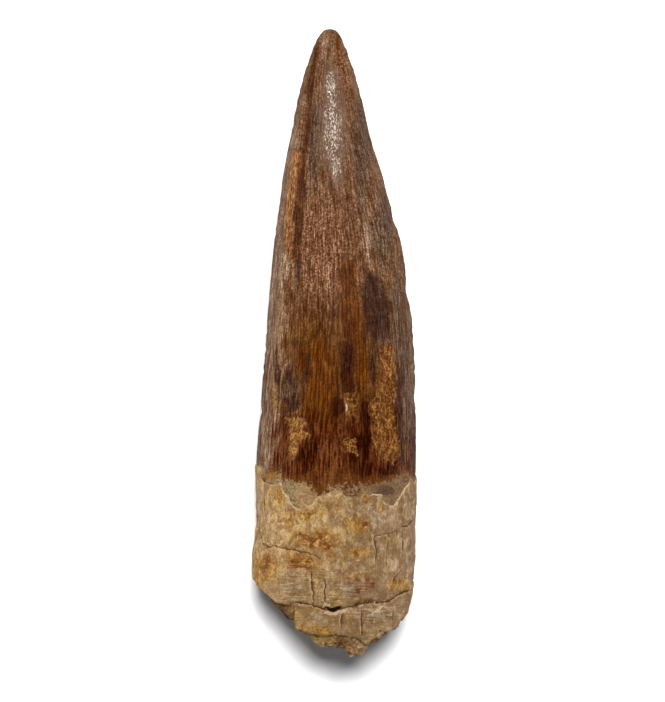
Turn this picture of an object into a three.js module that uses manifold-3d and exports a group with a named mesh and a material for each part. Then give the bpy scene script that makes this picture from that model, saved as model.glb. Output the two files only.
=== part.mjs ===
// A fossil Spinosaurus tooth: a long fluted crown with its enamel partly spalled off, and the stub of
// the root below it, covered in a thin crust with a scalloped edge and broken off unevenly at its end.
// It grew as one piece, so it is one solid. It lies on its side along +Y, tip towards +Y, its better
// face up towards +Z, on a small worn flat under the root. Units are millimetres.

import * as THREE from "three";
import { mergeVertices } from "three/addons/utils/BufferGeometryUtils.js";
import Module from "manifold-3d";

// ---- Driving dimensions ----
const LENGTH = 130.2; // tip to the lowest point of the broken root
const WIDTH = 34.2; // across the root, carina to carina
const THICKNESS = 28.7; // through the root, from the resting flat to the upper face
const CRUST = 0.3; // how far the root's crust stands above the crown
const ENAMEL = 0.5; // thickness of the enamel that has spalled off in places
const RIM_LAYER = 2.0; // thickness of the outer layer that is gone beside the broken end
const ROUND_TIP = 2.6; // length of the worn, rounded tip

const TIP = LENGTH / 2;
const SIDE = WIDTH / 2;

// ---- Outlines along the tooth, as [y, value] from the tip down ----
const LEFT_EDGE = [
  [TIP - ROUND_TIP, -3.9],
  [60.8, -4.75],
  [53.3, -6.95],
  [43.4, -8.9],
  [33.4, -10.75],
  [21, -12.4],
  [8.6, -13.6],
  [-12.1, -15.2],
  [-24.5, -16.3],
  [-36, -16.2],
  [-46, -SIDE],
  [-60, -16.7],
];
const RIGHT_EDGE = [
  [TIP - ROUND_TIP, 2.1],
  [60.8, 2.9],
  [53.3, 5],
  [43.4, 7.15],
  [33.4, 10.2],
  [21, 13.7],
  [14.8, 14.7],
  [2.4, 16.3],
  [-12.1, 16.9],
  [-24.5, SIDE],
  [-41, 16.9],
  [-60, 16.2],
];
const UPPER_EDGE = [
  [TIP - ROUND_TIP, 8.6],
  [60, 9.7],
  [53, 12.3],
  [43, 15.7],
  [33, 18.9],
  [21, 22.2],
  [5, 25.6],
  [-12, 27.7],
  [-30, 28.4],
  [-46, THICKNESS - 0.2],
  [-60, 27.6],
];
const LOWER_EDGE = [
  [TIP - ROUND_TIP, 3.5],
  [60, 2.8],
  [50, 1.9],
  [33, 0.9],
  [15, 0.3],
  [0, -0.1],
  [-20, -0.45],
  [-42, -0.3],
  [-60, 0.6],
];

// The end of the root at each bearing, clockwise from the upper face as seen from the tip's side.
const RIM = [
  [-180, -50.2],
  [-150, -49.4],
  [-120, -48.8],
  [-96, -49],
  [-80, -50.6],
  [-64, -52.6],
  [-50, -55.6],
  [-38, -58.4],
  [-28, -60.3],
  [-14, -61.9],
  [-2, -63.3],
  [9, -64.1],
  [17, -TIP],
  [24, -64],
  [30, -62.2],
  [38, -60.6],
  [48, -58.9],
  [58, -56.9],
  [70, -54.6],
  [84, -52.2],
  [110, -50.6],
  [140, -50.9],
  [160, -49.6],
  [180, -50.2],
];

// Where the crust of the root begins at each bearing: a ragged edge with two deep scallops in front.
const CRUST_EDGE = [
  [-180, -29],
  [-162, -31.5],
  [-150, -29.5],
  [-132, -30.2],
  [-118, -27.4],
  [-100, -28],
  [-86, -26.6],
  [-70, -26.4],
  [-60, -28.6],
  [-48, -28.9],
  [-42, -28.3],
  [-37, -31.2],
  [-33, -33.4],
  [-27, -34.4],
  [-20, -33.9],
  [-16, -31.8],
  [-8, -31.5],
  [0, -30.9],
  [10, -31.7],
  [16, -31.3],
  [20, -30.6],
  [29, -30.9],
  [34, -31.9],
  [37, -33.5],
  [43, -33.8],
  [50, -33],
  [57, -31.2],
  [64, -29.3],
  [74, -27.8],
  [88, -28.4],
  [104, -27.6],
  [118, -30.6],
  [130, -31.4],
  [140, -28.6],
  [158, -28.9],
  [168, -27.5],
  [180, -29],
];

// Ridges (positive) and grooves (negative) of the crown: bearing at the tip, at its foot, height, half width.
const FLUTES = [
  [-52, -57, 0.42, 7],
  [-41, -43, -0.55, 7],
  [-20, -16, 0.12, 11],
  [30, 42, -0.3, 8],
  [48, 55, 0.3, 8],
  [112, 110, -0.3, 9],
  [128, 127, 0.35, 9],
  [150, 148, -0.35, 9],
  [170, 168, 0.35, 9],
  [-170, -168, -0.3, 8],
  [-152, -151, 0.35, 9],
  [-130, -129, -0.3, 9],
  [-112, -110, 0.25, 8],
];

// Sharp crests, in the same order: the edge of the front facet, the two keels, and two at the back.
const CRESTS = [
  [19, 31, 0.6, 6],
  [88, 90, 0.4, 5],
  [-88, -90, 0.25, 5],
  [139, 138, 0.3, 5],
  [-161, -160, 0.3, 5],
];

// Nicks that have broken out of the right keel: y, depth, half length.
const NICKS = [
  [61.6, 0.2, 0.9],
  [25.5, 0.4, 1.9],
  [10.4, 0.55, 2.1],
  [-11.6, 0.35, 1.9],
];
const NICK_HALF_WIDTH = 26; // in degrees of bearing

// Low lumps of the root: height, then two waves as [times round, radians per millimetre, start].
const LUMPS = [
  [0.16, [3, 0.21, 1.3], [1, 0.33, 0]],
  [0.12, [7, -0.4, 0], [2, 0.83, 0.7]],
];

// ---- Scars cut straight down into the upper face, as outlines in x and y ----
const RIGHT_SPALL = [
  [9.6, -0.5],
  [12.1, -0.5],
  [12.9, -6.7],
  [12.4, -12.9],
  [13.3, -19],
  [14, -23.5],
  [12.1, -25.6],
  [9.9, -24.2],
  [9.4, -22.6],
  [8.1, -21.4],
  [7.2, -12.9],
  [9.2, -11.4],
  [9.4, -5],
];
const MIDDLE_SPALLS = [
  [
    [2.3, -10.5],
    [4.5, -10.7],
    [5, -14],
    [4.4, -15.1],
    [2.4, -15],
  ],
  [
    [1.8, -20.1],
    [4.3, -19.9],
    [5, -23.4],
    [1.6, -22.3],
  ],
];
const LEFT_SPALL = [
  [-11, -15.5],
  [-6.3, -15.6],
  [-6.6, -18],
  [-3.9, -18.7],
  [-5, -20.6],
  [-7.4, -20.6],
  [-8.7, -25.2],
  [-10, -22.6],
  [-9.6, -18.1],
];
const MISSING_RIM = [
  [-22, -48.2],
  [-15.4, -50.6],
  [-12.3, -53.6],
  [-8.4, -55],
  [-8.5, -59.9],
  [-7.4, -61.4],
  [-4.4, -62.4],
  [-3.6, -70],
  [-22, -70],
];

// ---- Cracks in the upper face of the root, as points in x and y ----
const UPPER_CRACK = [
  [-17.6, -39.6],
  [-15.8, -41.4],
  [-13.6, -42.4],
  [-9.6, -42.6],
  [-6, -43.5],
  [-2, -45.4],
];
const LOWER_CRACK = [
  [-8.6, -54.6],
  [-3, -54.9],
  [-0.5, -56],
  [2.6, -55.2],
  [6.4, -53.6],
  [11.8, -53.7],
  [15.6, -51.6],
  [17.6, -51],
];
const CRACK_WIDTH = 0.6;
const CRACK_DEPTH = 0.9;
const PINCH = 0.25; // share of its width that a crack keeps at its ends
const WAVER = 0.7; // share of its width that it keeps at every second step
const GAPE = [
  [-2.2, -55.1],
  [0.6, -55.4],
  [2, -55.3],
  [0.8, -56.4],
  [-0.6, -56.5],
];

// ---- Grid of the solid ----
const AROUND = 56;
const CROWDING = 14; // degrees by which the columns crowd towards the upper face
const CROWN_POWER = 2.12; // power of the crown's section: 2 is an ellipse, and more is squarer
const ROOT_POWER = 2.3;
const CROWN_RINGS = 28;
const ROOT_RINGS = 16;
const CROWN_FOOT = -22; // the crown's rings end here
const STRETCH_FROM = -44; // below this the rings stretch to meet the rim
const NOMINAL_END = -58;
const BREAK_RINGS = [0.94, 0.84, 0.7, 0.52, 0.34, 0.17];
const BREAK_MIDDLE = -56; // where the broken face crosses the axis
const BREAK_SLOPE = 0.42; // how steeply the broken face leans, so that the upper side reaches further
const BREAK_LEAN = 0.12; // how much it leans sideways, so that the right side reaches further
const BREAK_RUN = 0.34; // share of the radius over which the rim falls away to that face
const BREAK_ROUGHNESS = 0.8;
const PULP_DEPTH = 4.5;
const PULP_SHARE = 0.42; // share of the radius that the pulp's hollow takes
const EDGE_COLUMNS = 120; // round the crust's edge
const EDGE_MIDDLE = -30; // y of the crust's edge on the axis, inside the tooth

const wasm = await Module();
wasm.setup();

const radians = THREE.MathUtils.degToRad;
const { clamp, smoothstep, lerp } = THREE.MathUtils;

// Smooth curve through a table of [key, value] whose keys fall or rise steadily.
function along(table, key) {
  const rising = table[0][0] < table[table.length - 1][0];
  const rows = rising ? table : [...table].reverse();
  const last = rows.length - 1;
  const at = clamp(key, rows[0][0], rows[last][0]);
  let i = 0;
  while (i < last - 1 && rows[i + 1][0] < at) i += 1;
  const slope = (j) => {
    const before = rows[Math.max(0, j - 1)];
    const after = rows[Math.min(last, j + 1)];
    return (after[1] - before[1]) / (after[0] - before[0]);
  };
  const span = rows[i + 1][0] - rows[i][0];
  const t = (at - rows[i][0]) / span;
  const rise = t * t * (3 - 2 * t);
  const leave = t * (1 - t) * (1 - t) * span * slope(i);
  const reach = t * t * (1 - t) * span * slope(i + 1);
  return lerp(rows[i][1], rows[i + 1][1], rise) + leave - reach;
}

// Shortest way from one bearing to another, in degrees.
function turn(from, to) {
  return ((((to - from) % 360) + 540) % 360) - 180;
}

// A hump of height 1 around 0.
function bump(value, half) {
  return Math.exp(-((value / half) ** 2));
}

// The crown's ridges, grooves and crests, which fade out at the tip and under the crust.
function flutes(bearing, y) {
  const share = (TIP - y) / (TIP - CROWN_FOOT);
  const fade = smoothstep(share, 0.02, 0.2) * (1 - 0.85 * smoothstep(share, 0.75, 1.15));
  const off = (atTip, atFoot) => turn(lerp(atTip, atFoot, Math.min(share, 1)), bearing);
  let height = 0;
  for (const [atTip, atFoot, rise, half] of FLUTES) height += rise * bump(off(atTip, atFoot), half);
  for (const [atTip, atFoot, rise, half] of CRESTS) {
    height += rise * Math.exp(-Math.abs(off(atTip, atFoot)) / half);
  }
  return height * fade;
}

// What has broken out of the right keel.
function nicks(bearing, y) {
  let depth = 0;
  for (const [middle, deep, half] of NICKS) depth += deep * bump(y - middle, half);
  return -depth * bump(turn(90, bearing), NICK_HALF_WIDTH);
}

// Low lumps of the weathered root.
function lumps(bearing, y) {
  const b = radians(bearing);
  const wave = ([round, lengthways, start]) => Math.sin(round * b + lengthways * y + start);
  let height = 0;
  for (const [rise, one, other] of LUMPS) height += rise * wave(one) * wave(other);
  return height * smoothstep(-y, 30, 38);
}

// A point of the tooth's skin at a bearing and y, raised by lift and drawn in to a share of its radius.
function skin(bearing, y, lift, share) {
  const b = radians(bearing);
  const round = Math.sqrt(clamp((TIP - y) / ROUND_TIP, 0, 1));
  const left = along(LEFT_EDGE, y);
  const right = along(RIGHT_EDGE, y);
  const upper = along(UPPER_EDGE, y);
  const lower = along(LOWER_EDGE, y);
  const halfWidth = (right - left) / 2;
  const halfHeight = (upper - lower) / 2;
  const power = 2 / lerp(CROWN_POWER, ROOT_POWER, smoothstep(-y, 0, 40));
  const across = Math.sign(Math.sin(b)) * Math.abs(Math.sin(b)) ** power;
  const upward = Math.sign(Math.cos(b)) * Math.abs(Math.cos(b)) ** power;
  const out = new THREE.Vector2(Math.sin(b) / halfWidth, Math.cos(b) / halfHeight).normalize();
  const relief = lift + flutes(bearing, y) + nicks(bearing, y) + lumps(bearing, y);
  const x = (left + right) / 2 + (across * halfWidth + out.x * relief) * round * share;
  const z = (upper + lower) / 2 + (upward * halfHeight + out.y * relief) * round * share;
  return [x, z];
}

// y of the broken end at a bearing and share of the radius: a leaning face with a hollow in its middle.
function breakFace(bearing, share) {
  const b = radians(bearing);
  const rim = along(RIM, bearing);
  const fall = BREAK_SLOPE * (THICKNESS / 2) * Math.cos(b) + BREAK_LEAN * SIDE * Math.sin(b);
  const plane = BREAK_MIDDLE - fall * share;
  const inward = smoothstep(1 - share, 0, BREAK_RUN);
  const pulp = PULP_DEPTH * smoothstep(PULP_SHARE - share, 0, 0.3);
  const waves = Math.sin(9 * share + 3 * b) * Math.sin(2 * b + 1 + 5 * share);
  const rough = BREAK_ROUGHNESS * waves * Math.min(1, 4 - 4 * share) * smoothstep(share, 0, 0.3);
  return lerp(rim, plane, inward) + pulp + rough;
}

// The bearing of a column of the grid.
function bearingOf(column) {
  const share = column / AROUND;
  return turn(0, 360 * share - CROWDING * Math.sin(2 * Math.PI * share));
}

// The whole tooth as a solid, its skin raised by lift.
function toothBody(lift) {
  const profile = [new THREE.Vector2(0, TIP)];
  for (let i = 1; i <= CROWN_RINGS; i += 1) {
    const share = i / CROWN_RINGS;
    profile.push(new THREE.Vector2(1, lerp(TIP, CROWN_FOOT, 0.2 * share ** 3 + 0.8 * share ** 1.5)));
  }
  for (let i = 1; i <= ROOT_RINGS; i += 1) {
    profile.push(new THREE.Vector2(1, lerp(CROWN_FOOT, NOMINAL_END, i / ROOT_RINGS)));
  }
  for (const share of BREAK_RINGS) profile.push(new THREE.Vector2(share, NOMINAL_END));
  profile.push(new THREE.Vector2(0, NOMINAL_END));
  profile.reverse();

  const geometry = new THREE.LatheGeometry(profile, AROUND);
  const position = geometry.attributes.position;
  for (let i = 0; i < position.count; i += 1) {
    const column = Math.floor(i / profile.length);
    const { x: share, y: nominal } = profile[i % profile.length];
    const bearing = bearingOf(column);
    const onBreak = nominal === NOMINAL_END && share < 1;
    let y = nominal;
    if (nominal < STRETCH_FROM && share > 0) {
      const stretch = (along(RIM, bearing) - STRETCH_FROM) / (NOMINAL_END - STRETCH_FROM);
      y = STRETCH_FROM + (nominal - STRETCH_FROM) * stretch;
    }
    const [x, z] = skin(bearing, y, lift, onBreak ? share : 1);
    if (onBreak) y = share === 0 ? breakFace(0, 0) : breakFace(bearing, share);
    position.setXYZ(i, x, y, z);
  }
  return solid(geometry);
}

// A closed geometry as a manifold solid.
function solid(geometry) {
  const bare = new THREE.BufferGeometry();
  bare.setAttribute("position", geometry.attributes.position);
  bare.setIndex(geometry.index);
  const merged = mergeVertices(bare, 1e-4);
  return new wasm.Manifold(
    new wasm.Mesh({
      numProp: 3,
      vertProperties: merged.attributes.position.array,
      triVerts: new Uint32Array(merged.index.array),
    }),
  );
}

// A block that holds everything below the crust's edge.
function rootBlock() {
  const reach = 2 * SIDE;
  const core = SIDE / 3; // well inside the tooth: from here outwards the top lies level
  const profile = [
    new THREE.Vector2(0, -LENGTH),
    new THREE.Vector2(reach, -LENGTH),
    new THREE.Vector2(reach, 0),
    new THREE.Vector2(core, 0),
    new THREE.Vector2(0, 0),
  ];
  const geometry = new THREE.LatheGeometry(profile, EDGE_COLUMNS);
  const position = geometry.attributes.position;
  const middle = THICKNESS / 2;
  for (let i = 0; i < position.count; i += 1) {
    const onTop = position.getY(i) === 0;
    const atAxis = i % profile.length === profile.length - 1;
    const bearing = turn(0, (Math.floor(i / profile.length) * 360) / EDGE_COLUMNS);
    const edge = atAxis ? EDGE_MIDDLE : along(CRUST_EDGE, bearing);
    if (onTop) position.setY(i, edge);
    position.setZ(i, position.getZ(i) + middle);
  }
  return solid(geometry);
}

// A straight prism over an outline, standing well above and reaching below the skin of the upper face.
function prism(outline) {
  const shape = new THREE.Shape(outline.map(([x, y]) => new THREE.Vector2(x, y)));
  const geometry = new THREE.ExtrudeGeometry(shape, { depth: THICKNESS, bevelEnabled: false });
  geometry.translate(0, 0, THICKNESS * 0.45);
  geometry.deleteAttribute("normal");
  geometry.deleteAttribute("uv");
  const merged = mergeVertices(geometry, 1e-4);
  return solid(merged);
}

// A thin outline that follows a crack and pinches out at both ends.
function crackOutline(points) {
  const curve = new THREE.SplineCurve(points.map(([x, y]) => new THREE.Vector2(x, y)));
  const steps = 2 * points.length;
  const upper = [];
  const lower = [];
  for (let i = 0; i <= steps; i += 1) {
    const t = i / steps;
    const at = curve.getPoint(t);
    const ahead = curve.getTangent(t);
    const half = (CRACK_WIDTH / 2) * lerp(PINCH, 1, Math.sin(Math.PI * t)) * (i % 2 ? WAVER : 1);
    upper.push([at.x - ahead.y * half, at.y + ahead.x * half]);
    lower.push([at.x + ahead.y * half, at.y - ahead.x * half]);
  }
  return [...lower, ...upper.reverse()];
}

function build() {
  const crown = toothBody(-CRUST);
  const crust = toothBody(0).intersect(rootBlock());
  let tooth = crown.add(crust);

  const cut = (outline, depth) => {
    const floor = toothBody(-depth);
    tooth = tooth.subtract(prism(outline).subtract(floor));
  };
  cut(RIGHT_SPALL, CRUST + ENAMEL);
  for (const outline of MIDDLE_SPALLS) cut(outline, CRUST + 0.7 * ENAMEL);
  cut(LEFT_SPALL, CRUST + ENAMEL);
  cut(MISSING_RIM, RIM_LAYER);
  cut(crackOutline(UPPER_CRACK), CRACK_DEPTH);
  cut(crackOutline(LOWER_CRACK), CRACK_DEPTH);
  cut(GAPE, 2 * CRACK_DEPTH);

  const ground = new THREE.BoxGeometry(4 * SIDE, 2 * LENGTH, THICKNESS);
  ground.translate(0, 0, -THICKNESS / 2);
  return tooth.subtract(solid(ground));
}

// The solid's triangles as a three.js geometry, its box centred on x and y and standing on z = 0.
function geometryOf(made) {
  const mesh = made.getMesh();
  const geometry = new THREE.BufferGeometry();
  geometry.setAttribute("position", new THREE.BufferAttribute(mesh.vertProperties, 3));
  geometry.setIndex(new THREE.BufferAttribute(mesh.triVerts, 1));
  geometry.computeBoundingBox();
  const middle = geometry.boundingBox.getCenter(new THREE.Vector3());
  geometry.translate(-middle.x, -middle.y, -geometry.boundingBox.min.z);
  geometry.computeVertexNormals();
  return geometry;
}

const fossil = new THREE.MeshStandardMaterial({ color: 0x6e4429, roughness: 0.45, metalness: 0 });

const tooth = new THREE.Mesh(geometryOf(build()), fossil);
tooth.name = "tooth";

const specimen = new THREE.Group();
specimen.add(tooth);

export default specimen;
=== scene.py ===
"""Looks of a fossil Spinosaurus tooth lying on its side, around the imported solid.

The tooth is one piece: a long fluted crown of brown enamel, spalled off in places, and the stub of the
root below it, under a thin cream crust. It is drawn out ring by ring as a plain peg, subdivided, and
its skin is then settled: every point finds its place on the tooth's section and is raised or sunk by
ridges, scars, cracks and lumps. The same scars and stains are kept on the points as marks, which the
material reads. Sizes are millimetres unless said otherwise, and the frame is in metres.
"""

import itertools
import math
from types import SimpleNamespace

import bpy
import numpy as np
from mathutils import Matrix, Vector


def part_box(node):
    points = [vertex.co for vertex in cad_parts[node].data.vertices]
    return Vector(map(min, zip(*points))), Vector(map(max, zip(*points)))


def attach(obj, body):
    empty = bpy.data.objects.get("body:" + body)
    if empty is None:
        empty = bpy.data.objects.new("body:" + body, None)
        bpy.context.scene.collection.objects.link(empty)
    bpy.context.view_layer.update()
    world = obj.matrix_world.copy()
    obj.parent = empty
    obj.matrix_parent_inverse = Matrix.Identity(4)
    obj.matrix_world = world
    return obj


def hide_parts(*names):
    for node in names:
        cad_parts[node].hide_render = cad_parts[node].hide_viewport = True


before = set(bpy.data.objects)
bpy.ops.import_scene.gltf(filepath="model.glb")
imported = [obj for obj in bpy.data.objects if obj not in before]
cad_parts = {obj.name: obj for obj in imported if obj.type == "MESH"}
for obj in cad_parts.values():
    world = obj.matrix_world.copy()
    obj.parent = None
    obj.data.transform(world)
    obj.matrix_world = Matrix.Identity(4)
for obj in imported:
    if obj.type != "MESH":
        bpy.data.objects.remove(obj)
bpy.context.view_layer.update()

MM = 0.001

# ---- Driving dimensions, from the frame ----
LOW, HIGH = (np.array(corner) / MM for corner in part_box("tooth"))
LENGTH = HIGH[1] - LOW[1]
SIDE = (HIGH[0] - LOW[0]) / 2
THICKNESS = HIGH[2] - LOW[2]
TIP = LENGTH / 2

CROWN_LIFT = -0.2  # the crown's skin against the outlines below
CRUST_LIFT = 0.05  # the root's crust against them
ENAMEL = 0.45  # thickness of the enamel that has spalled off in places
ROUND_TIP = 2.6  # length of the rounded tip

# ---- Outlines along the tooth, as (y, value) from the tip down ----
LEFT_EDGE = [
    (TIP - ROUND_TIP, -3.9), (60.8, -4.75), (53.3, -6.95), (43.4, -8.9), (33.4, -10.75), (21, -12.4),
    (8.6, -13.6), (-12.1, -15.2), (-24.5, -16.3), (-36, -16.2), (-46, -17.1), (-60, -16.7),
]
RIGHT_EDGE = [
    (TIP - ROUND_TIP, 2.1), (60.8, 2.9), (53.3, 5), (43.4, 7.15), (33.4, 10.2), (21, 13.7), (14.8, 14.7),
    (2.4, 16.3), (-12.1, 16.9), (-24.5, 17.1), (-41, 16.9), (-60, 16.2),
]
UPPER_EDGE = [
    (TIP - ROUND_TIP, 8.6), (60, 9.7), (53, 12.3), (43, 15.7), (33, 18.9), (21, 22.2), (5, 25.6),
    (-12, 27.7), (-30, 28.3), (-46, THICKNESS - 0.4), (-60, 27.5),
]
LOWER_EDGE = [
    (TIP - ROUND_TIP, 3.5), (60, 2.8), (50, 1.9), (33, 0.9), (15, 0.3), (0, -0.1), (-20, -0.45),
    (-42, -0.3), (-60, 0.6),
]

# ---- Edges round the tooth, as (bearing, y) ----
# A bearing is 0 in the middle of the upper face and 90 at the right keel, the tip pointing away.
RIM = [
    (-180, -50.2), (-150, -49.4), (-120, -48.8), (-96, -49), (-84, -49.3), (-76.5, -49.5), (-72.6, -50.2),
    (-62, -51.2), (-47, -53.3), (-44, -54.7), (-38.3, -55.3), (-29.4, -56.4), (-25.7, -57), (-24.7, -59.1),
    (-21.6, -59.7), (-16.3, -60.4), (-12, -62), (-8.7, -62.5), (0.7, -62.3), (5.5, -62.5), (9.2, -63.4),
    (12.3, -64.5), (15.1, -64.6), (18.1, -64.3), (21.9, -63.9), (25.7, -62.3), (27.6, -61.7), (35.3, -61.4),
    (37.6, -60.7), (42.7, -60), (45.9, -59.8), (51.8, -59.1), (58, -57.3), (69.4, -56.1), (75, -54.1),
    (78, -52.9), (90, -50.8), (110, -50.4), (126, -51.6), (140, -50.9), (152, -49.2), (166, -49.9),
    (180, -50.2),
]
CRUST_EDGE = [
    (-180, -29), (-170, -31.2), (-162, -31.5), (-156, -29.2), (-150, -29.5), (-132, -30.2), (-124, -28),
    (-112, -27.2), (-100, -28), (-90, -25.8), (-70, -25.9), (-66, -27.4), (-62.5, -28.5), (-58.5, -29.1),
    (-51, -29.4), (-43, -29.2), (-40.5, -29.3), (-39, -30.4), (-37, -31.1), (-33.3, -31.9), (-31.8, -33),
    (-28.3, -34), (-25, -34.4), (-21.8, -34.4), (-17.7, -33.8), (-14.8, -33.5), (-12.8, -32.4), (-10.7, -32),
    (-6.9, -31.6), (-0.6, -30.7), (2.8, -30.7), (4.7, -31.6), (7.6, -31.8), (12.1, -31.6), (14.6, -30.1),
    (17.3, -30.7), (21.4, -31.5), (27.8, -31.4), (32.2, -31.8), (33.3, -32.9), (34.8, -33.4), (39.1, -33.7),
    (44, -33.4), (47.7, -32.5), (51.3, -31.6), (55.1, -30.4), (62.1, -29.4), (67, -28.4), (76.9, -29.1),
    (90, -28.2), (104, -27.6), (112, -29.8), (121, -31), (130, -31.4), (136, -29), (144, -28.2),
    (158, -28.9), (168, -27.5), (180, -29),
]
ENAMEL_FOOT = [
    (-180, -27.6), (-150, -26.9), (-125, -27.4), (-108, -26.2), (-90, -25.6), (-66, -25.7), (-59, -27),
    (-42, -27.2), (-40, -28.5), (-35, -28.7), (-19, -29), (-17, -29.8), (-12.6, -31.1), (-10.7, -31.6),
    (-6.9, -31.3), (-3.4, -30.5), (4.5, -30.1), (14.4, -29.9), (21.3, -29.4), (33.9, -29), (41.6, -28.6),
    (47.6, -28), (54.2, -27.3), (62, -27.2), (68.6, -27.6), (78.9, -28.2), (90, -27.4), (110, -27),
    (135, -27.9), (160, -26.8), (180, -27.6),
]

# Ridges (positive) and grooves (negative) of the crown: bearing at the tip, at the foot, height, half width.
FLUTES = [
    (-52, -57, 0.42, 7), (-41, -43, -0.55, 6), (-20, -16, 0.12, 11), (30, 42, -0.3, 8), (48, 55, 0.3, 8),
    (112, 110, -0.3, 9), (128, 127, 0.35, 9), (150, 148, -0.35, 9), (170, 168, 0.35, 9),
    (-170, -168, -0.3, 8), (-152, -151, 0.35, 9), (-130, -129, -0.3, 9), (-112, -110, 0.25, 8),
]
# Sharp crests, in the same order: the edge of the front facet, the two keels, and two at the back.
CRESTS = [(19, 31, 0.6, 6), (88, 90, 0.4, 5), (-88, -90, 0.25, 5), (139, 138, 0.3, 5), (-161, -160, 0.3, 5)]
# Nicks in the keels and the tip: bearing, y, depth, half length.
NICKS = [
    (90, 61.6, 0.2, 0.9), (90, 25.5, 0.4, 1.9), (90, 10.4, 0.55, 2.1), (90, 6.4, 0.15, 0.6),
    (90, -11.6, 0.35, 1.9), (90, -0.6, 0.2, 0.8), (-90, 48.6, 0.15, 0.8), (-90, 45, 0.2, 0.7),
    (-90, 27.5, 0.15, 1.2), (-90, -1.6, 0.25, 0.9), (-90, -14.6, 0.25, 1.4), (90, 40.2, 0.15, 0.8),
]
CROWN_FOOT = -22

# ---- Scars of the upper face, as outlines in x and y ----
SPALLS = [
    [
        (9.6, -0.5), (12.1, -0.5), (12.5, -2.4), (12.9, -6.7), (13, -10.2), (12.4, -12.9),
        (13, -16.2), (13.3, -18.9), (14.1, -23.5), (12.8, -24.9), (12.2, -25.6),
        (11.6, -24.4), (9.9, -24.2), (9.5, -22.6), (8.1, -21.5), (7.7, -17.4), (7.2, -12.9),
        (7.9, -11.8), (9.2, -11.4), (9.5, -6.7),
    ],
    [
        (2.1, -10.7), (2.7, -10.5), (4.5, -10.7), (5, -11.4), (5, -14.1), (4.5, -15),
        (3.2, -15.2), (2.4, -15), (2.5, -12.9),
    ],
    [(1.8, -20.1), (4.3, -19.9), (4.8, -20.6), (5, -23.5), (2.9, -22.6), (1.6, -22.3)],
    [
        (-11, -15.5), (-7.6, -15.4), (-6.3, -15.6), (-5.8, -16.8), (-6.7, -17.9),
        (-5.3, -18.5), (-4.8, -19.1), (-5.2, -20.1), (-6.3, -19.9), (-7.4, -20.6),
        (-7.6, -22.6), (-8.7, -25.3), (-9.4, -23.5), (-10.1, -22.6), (-9.6, -18.1),
    ],
]
# Scars of the under face, as outlines in millimetres round from its middle and y.
BACK_SPALLS = [
    [
        (-9.5, 4.2), (-7.2, 5.1), (-6.3, 1.8), (-5.2, -1.4), (-5.9, -5.6), (-7.4, -8.3), (-8.8, -6.9),
        (-8.5, -2.2), (-9.9, 0.7),
    ],
    [(4.4, -13.6), (6.9, -12.8), (8.8, -14.4), (8.1, -18.3), (6.2, -21.7), (4.6, -20.1), (5.3, -16.9)],
    [(12.6, -17.8), (15.2, -16.9), (15.8, -20.4), (13.9, -23.8), (12.1, -22.2)],
    [(-2.2, 31.5), (-0.7, 32.8), (0.6, 30.1), (0.1, 26.4), (-1.3, 25.2), (-1.8, 28.4)],
]
GAPE = [
    (-2.4, -54.6), (-0.9, -54.8), (-0.1, -54.9), (1.4, -54.4), (1.5, -54.9), (0.6, -55.4), (-0.2, -55.5),
    (-1.2, -55.2),
]
CHIPS = [
    [(1.5, -30.7), (3, -30), (4.9, -29.7), (5.3, -30.1), (4.6, -31.6), (3.2, -31.8), (2.2, -31.6)],
    [(14.3, -28.5), (14.9, -27.7), (15.7, -27.8), (15.7, -28.8), (14.8, -29.2)],
]
# Below this line the outer layer beside the broken end is gone.
BARED_FROM = [
    (-26, -48.6), (-16.9, -49.3), (-15.4, -50.9), (-12.9, -53.1), (-12.3, -53.8), (-10.9, -54.1),
    (-8.2, -54.2), (-8.2, -59.1), (-6.4, -59.7), (-5.4, -60.2), (-3, -60.5), (0.1, -60.1), (2.1, -60.5),
    (3.4, -61.2), (4.7, -60.8), (5.5, -61.4), (6.3, -62.4), (7.3, -62.4), (8.4, -61.1), (9.4, -59.5),
    (10.7, -59.8), (11.9, -59.8), (13.1, -59.2), (14.6, -59.2), (26, -60),
]

# ---- Cracks, as points in bearing and y ----
# The open ones are (half width, depth, points), the hairlines only points.
OPEN_CRACKS = [
    (0.1, 0.5, [
        (-112, -36.8), (-96, -38.1), (-80, -37.9), (-70, -38.8), (-66, -40.4), (-59, -42), (-53, -42.5),
        (-48, -42.1), (-41, -42.5), (-34, -42.6), (-28, -43), (-25, -43), (-20, -43.5), (-16, -43.6),
        (-10, -44.2), (-7, -45),
    ]),
    (0.14, 0.7, [
        (-29, -54.2), (-26, -53.8), (-20, -53.7), (-11, -54.4), (-6, -55), (0, -55.3), (7, -54.8),
        (12, -54.7), (16, -53.9), (26, -53.8), (38, -53.8), (43, -53.6), (46, -53.2), (51, -52.4),
        (57, -52), (61, -51.6), (73, -51.4), (92, -49.4), (108, -48.6), (121, -49.9),
    ]),
    (0.15, 0.7, [
        (138, -41.8), (146, -43.1), (153, -42.4), (162, -44), (171, -43.3), (178, -44.9), (186, -44.1),
        (194, -45.8), (203, -45.2),
    ]),
]
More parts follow.
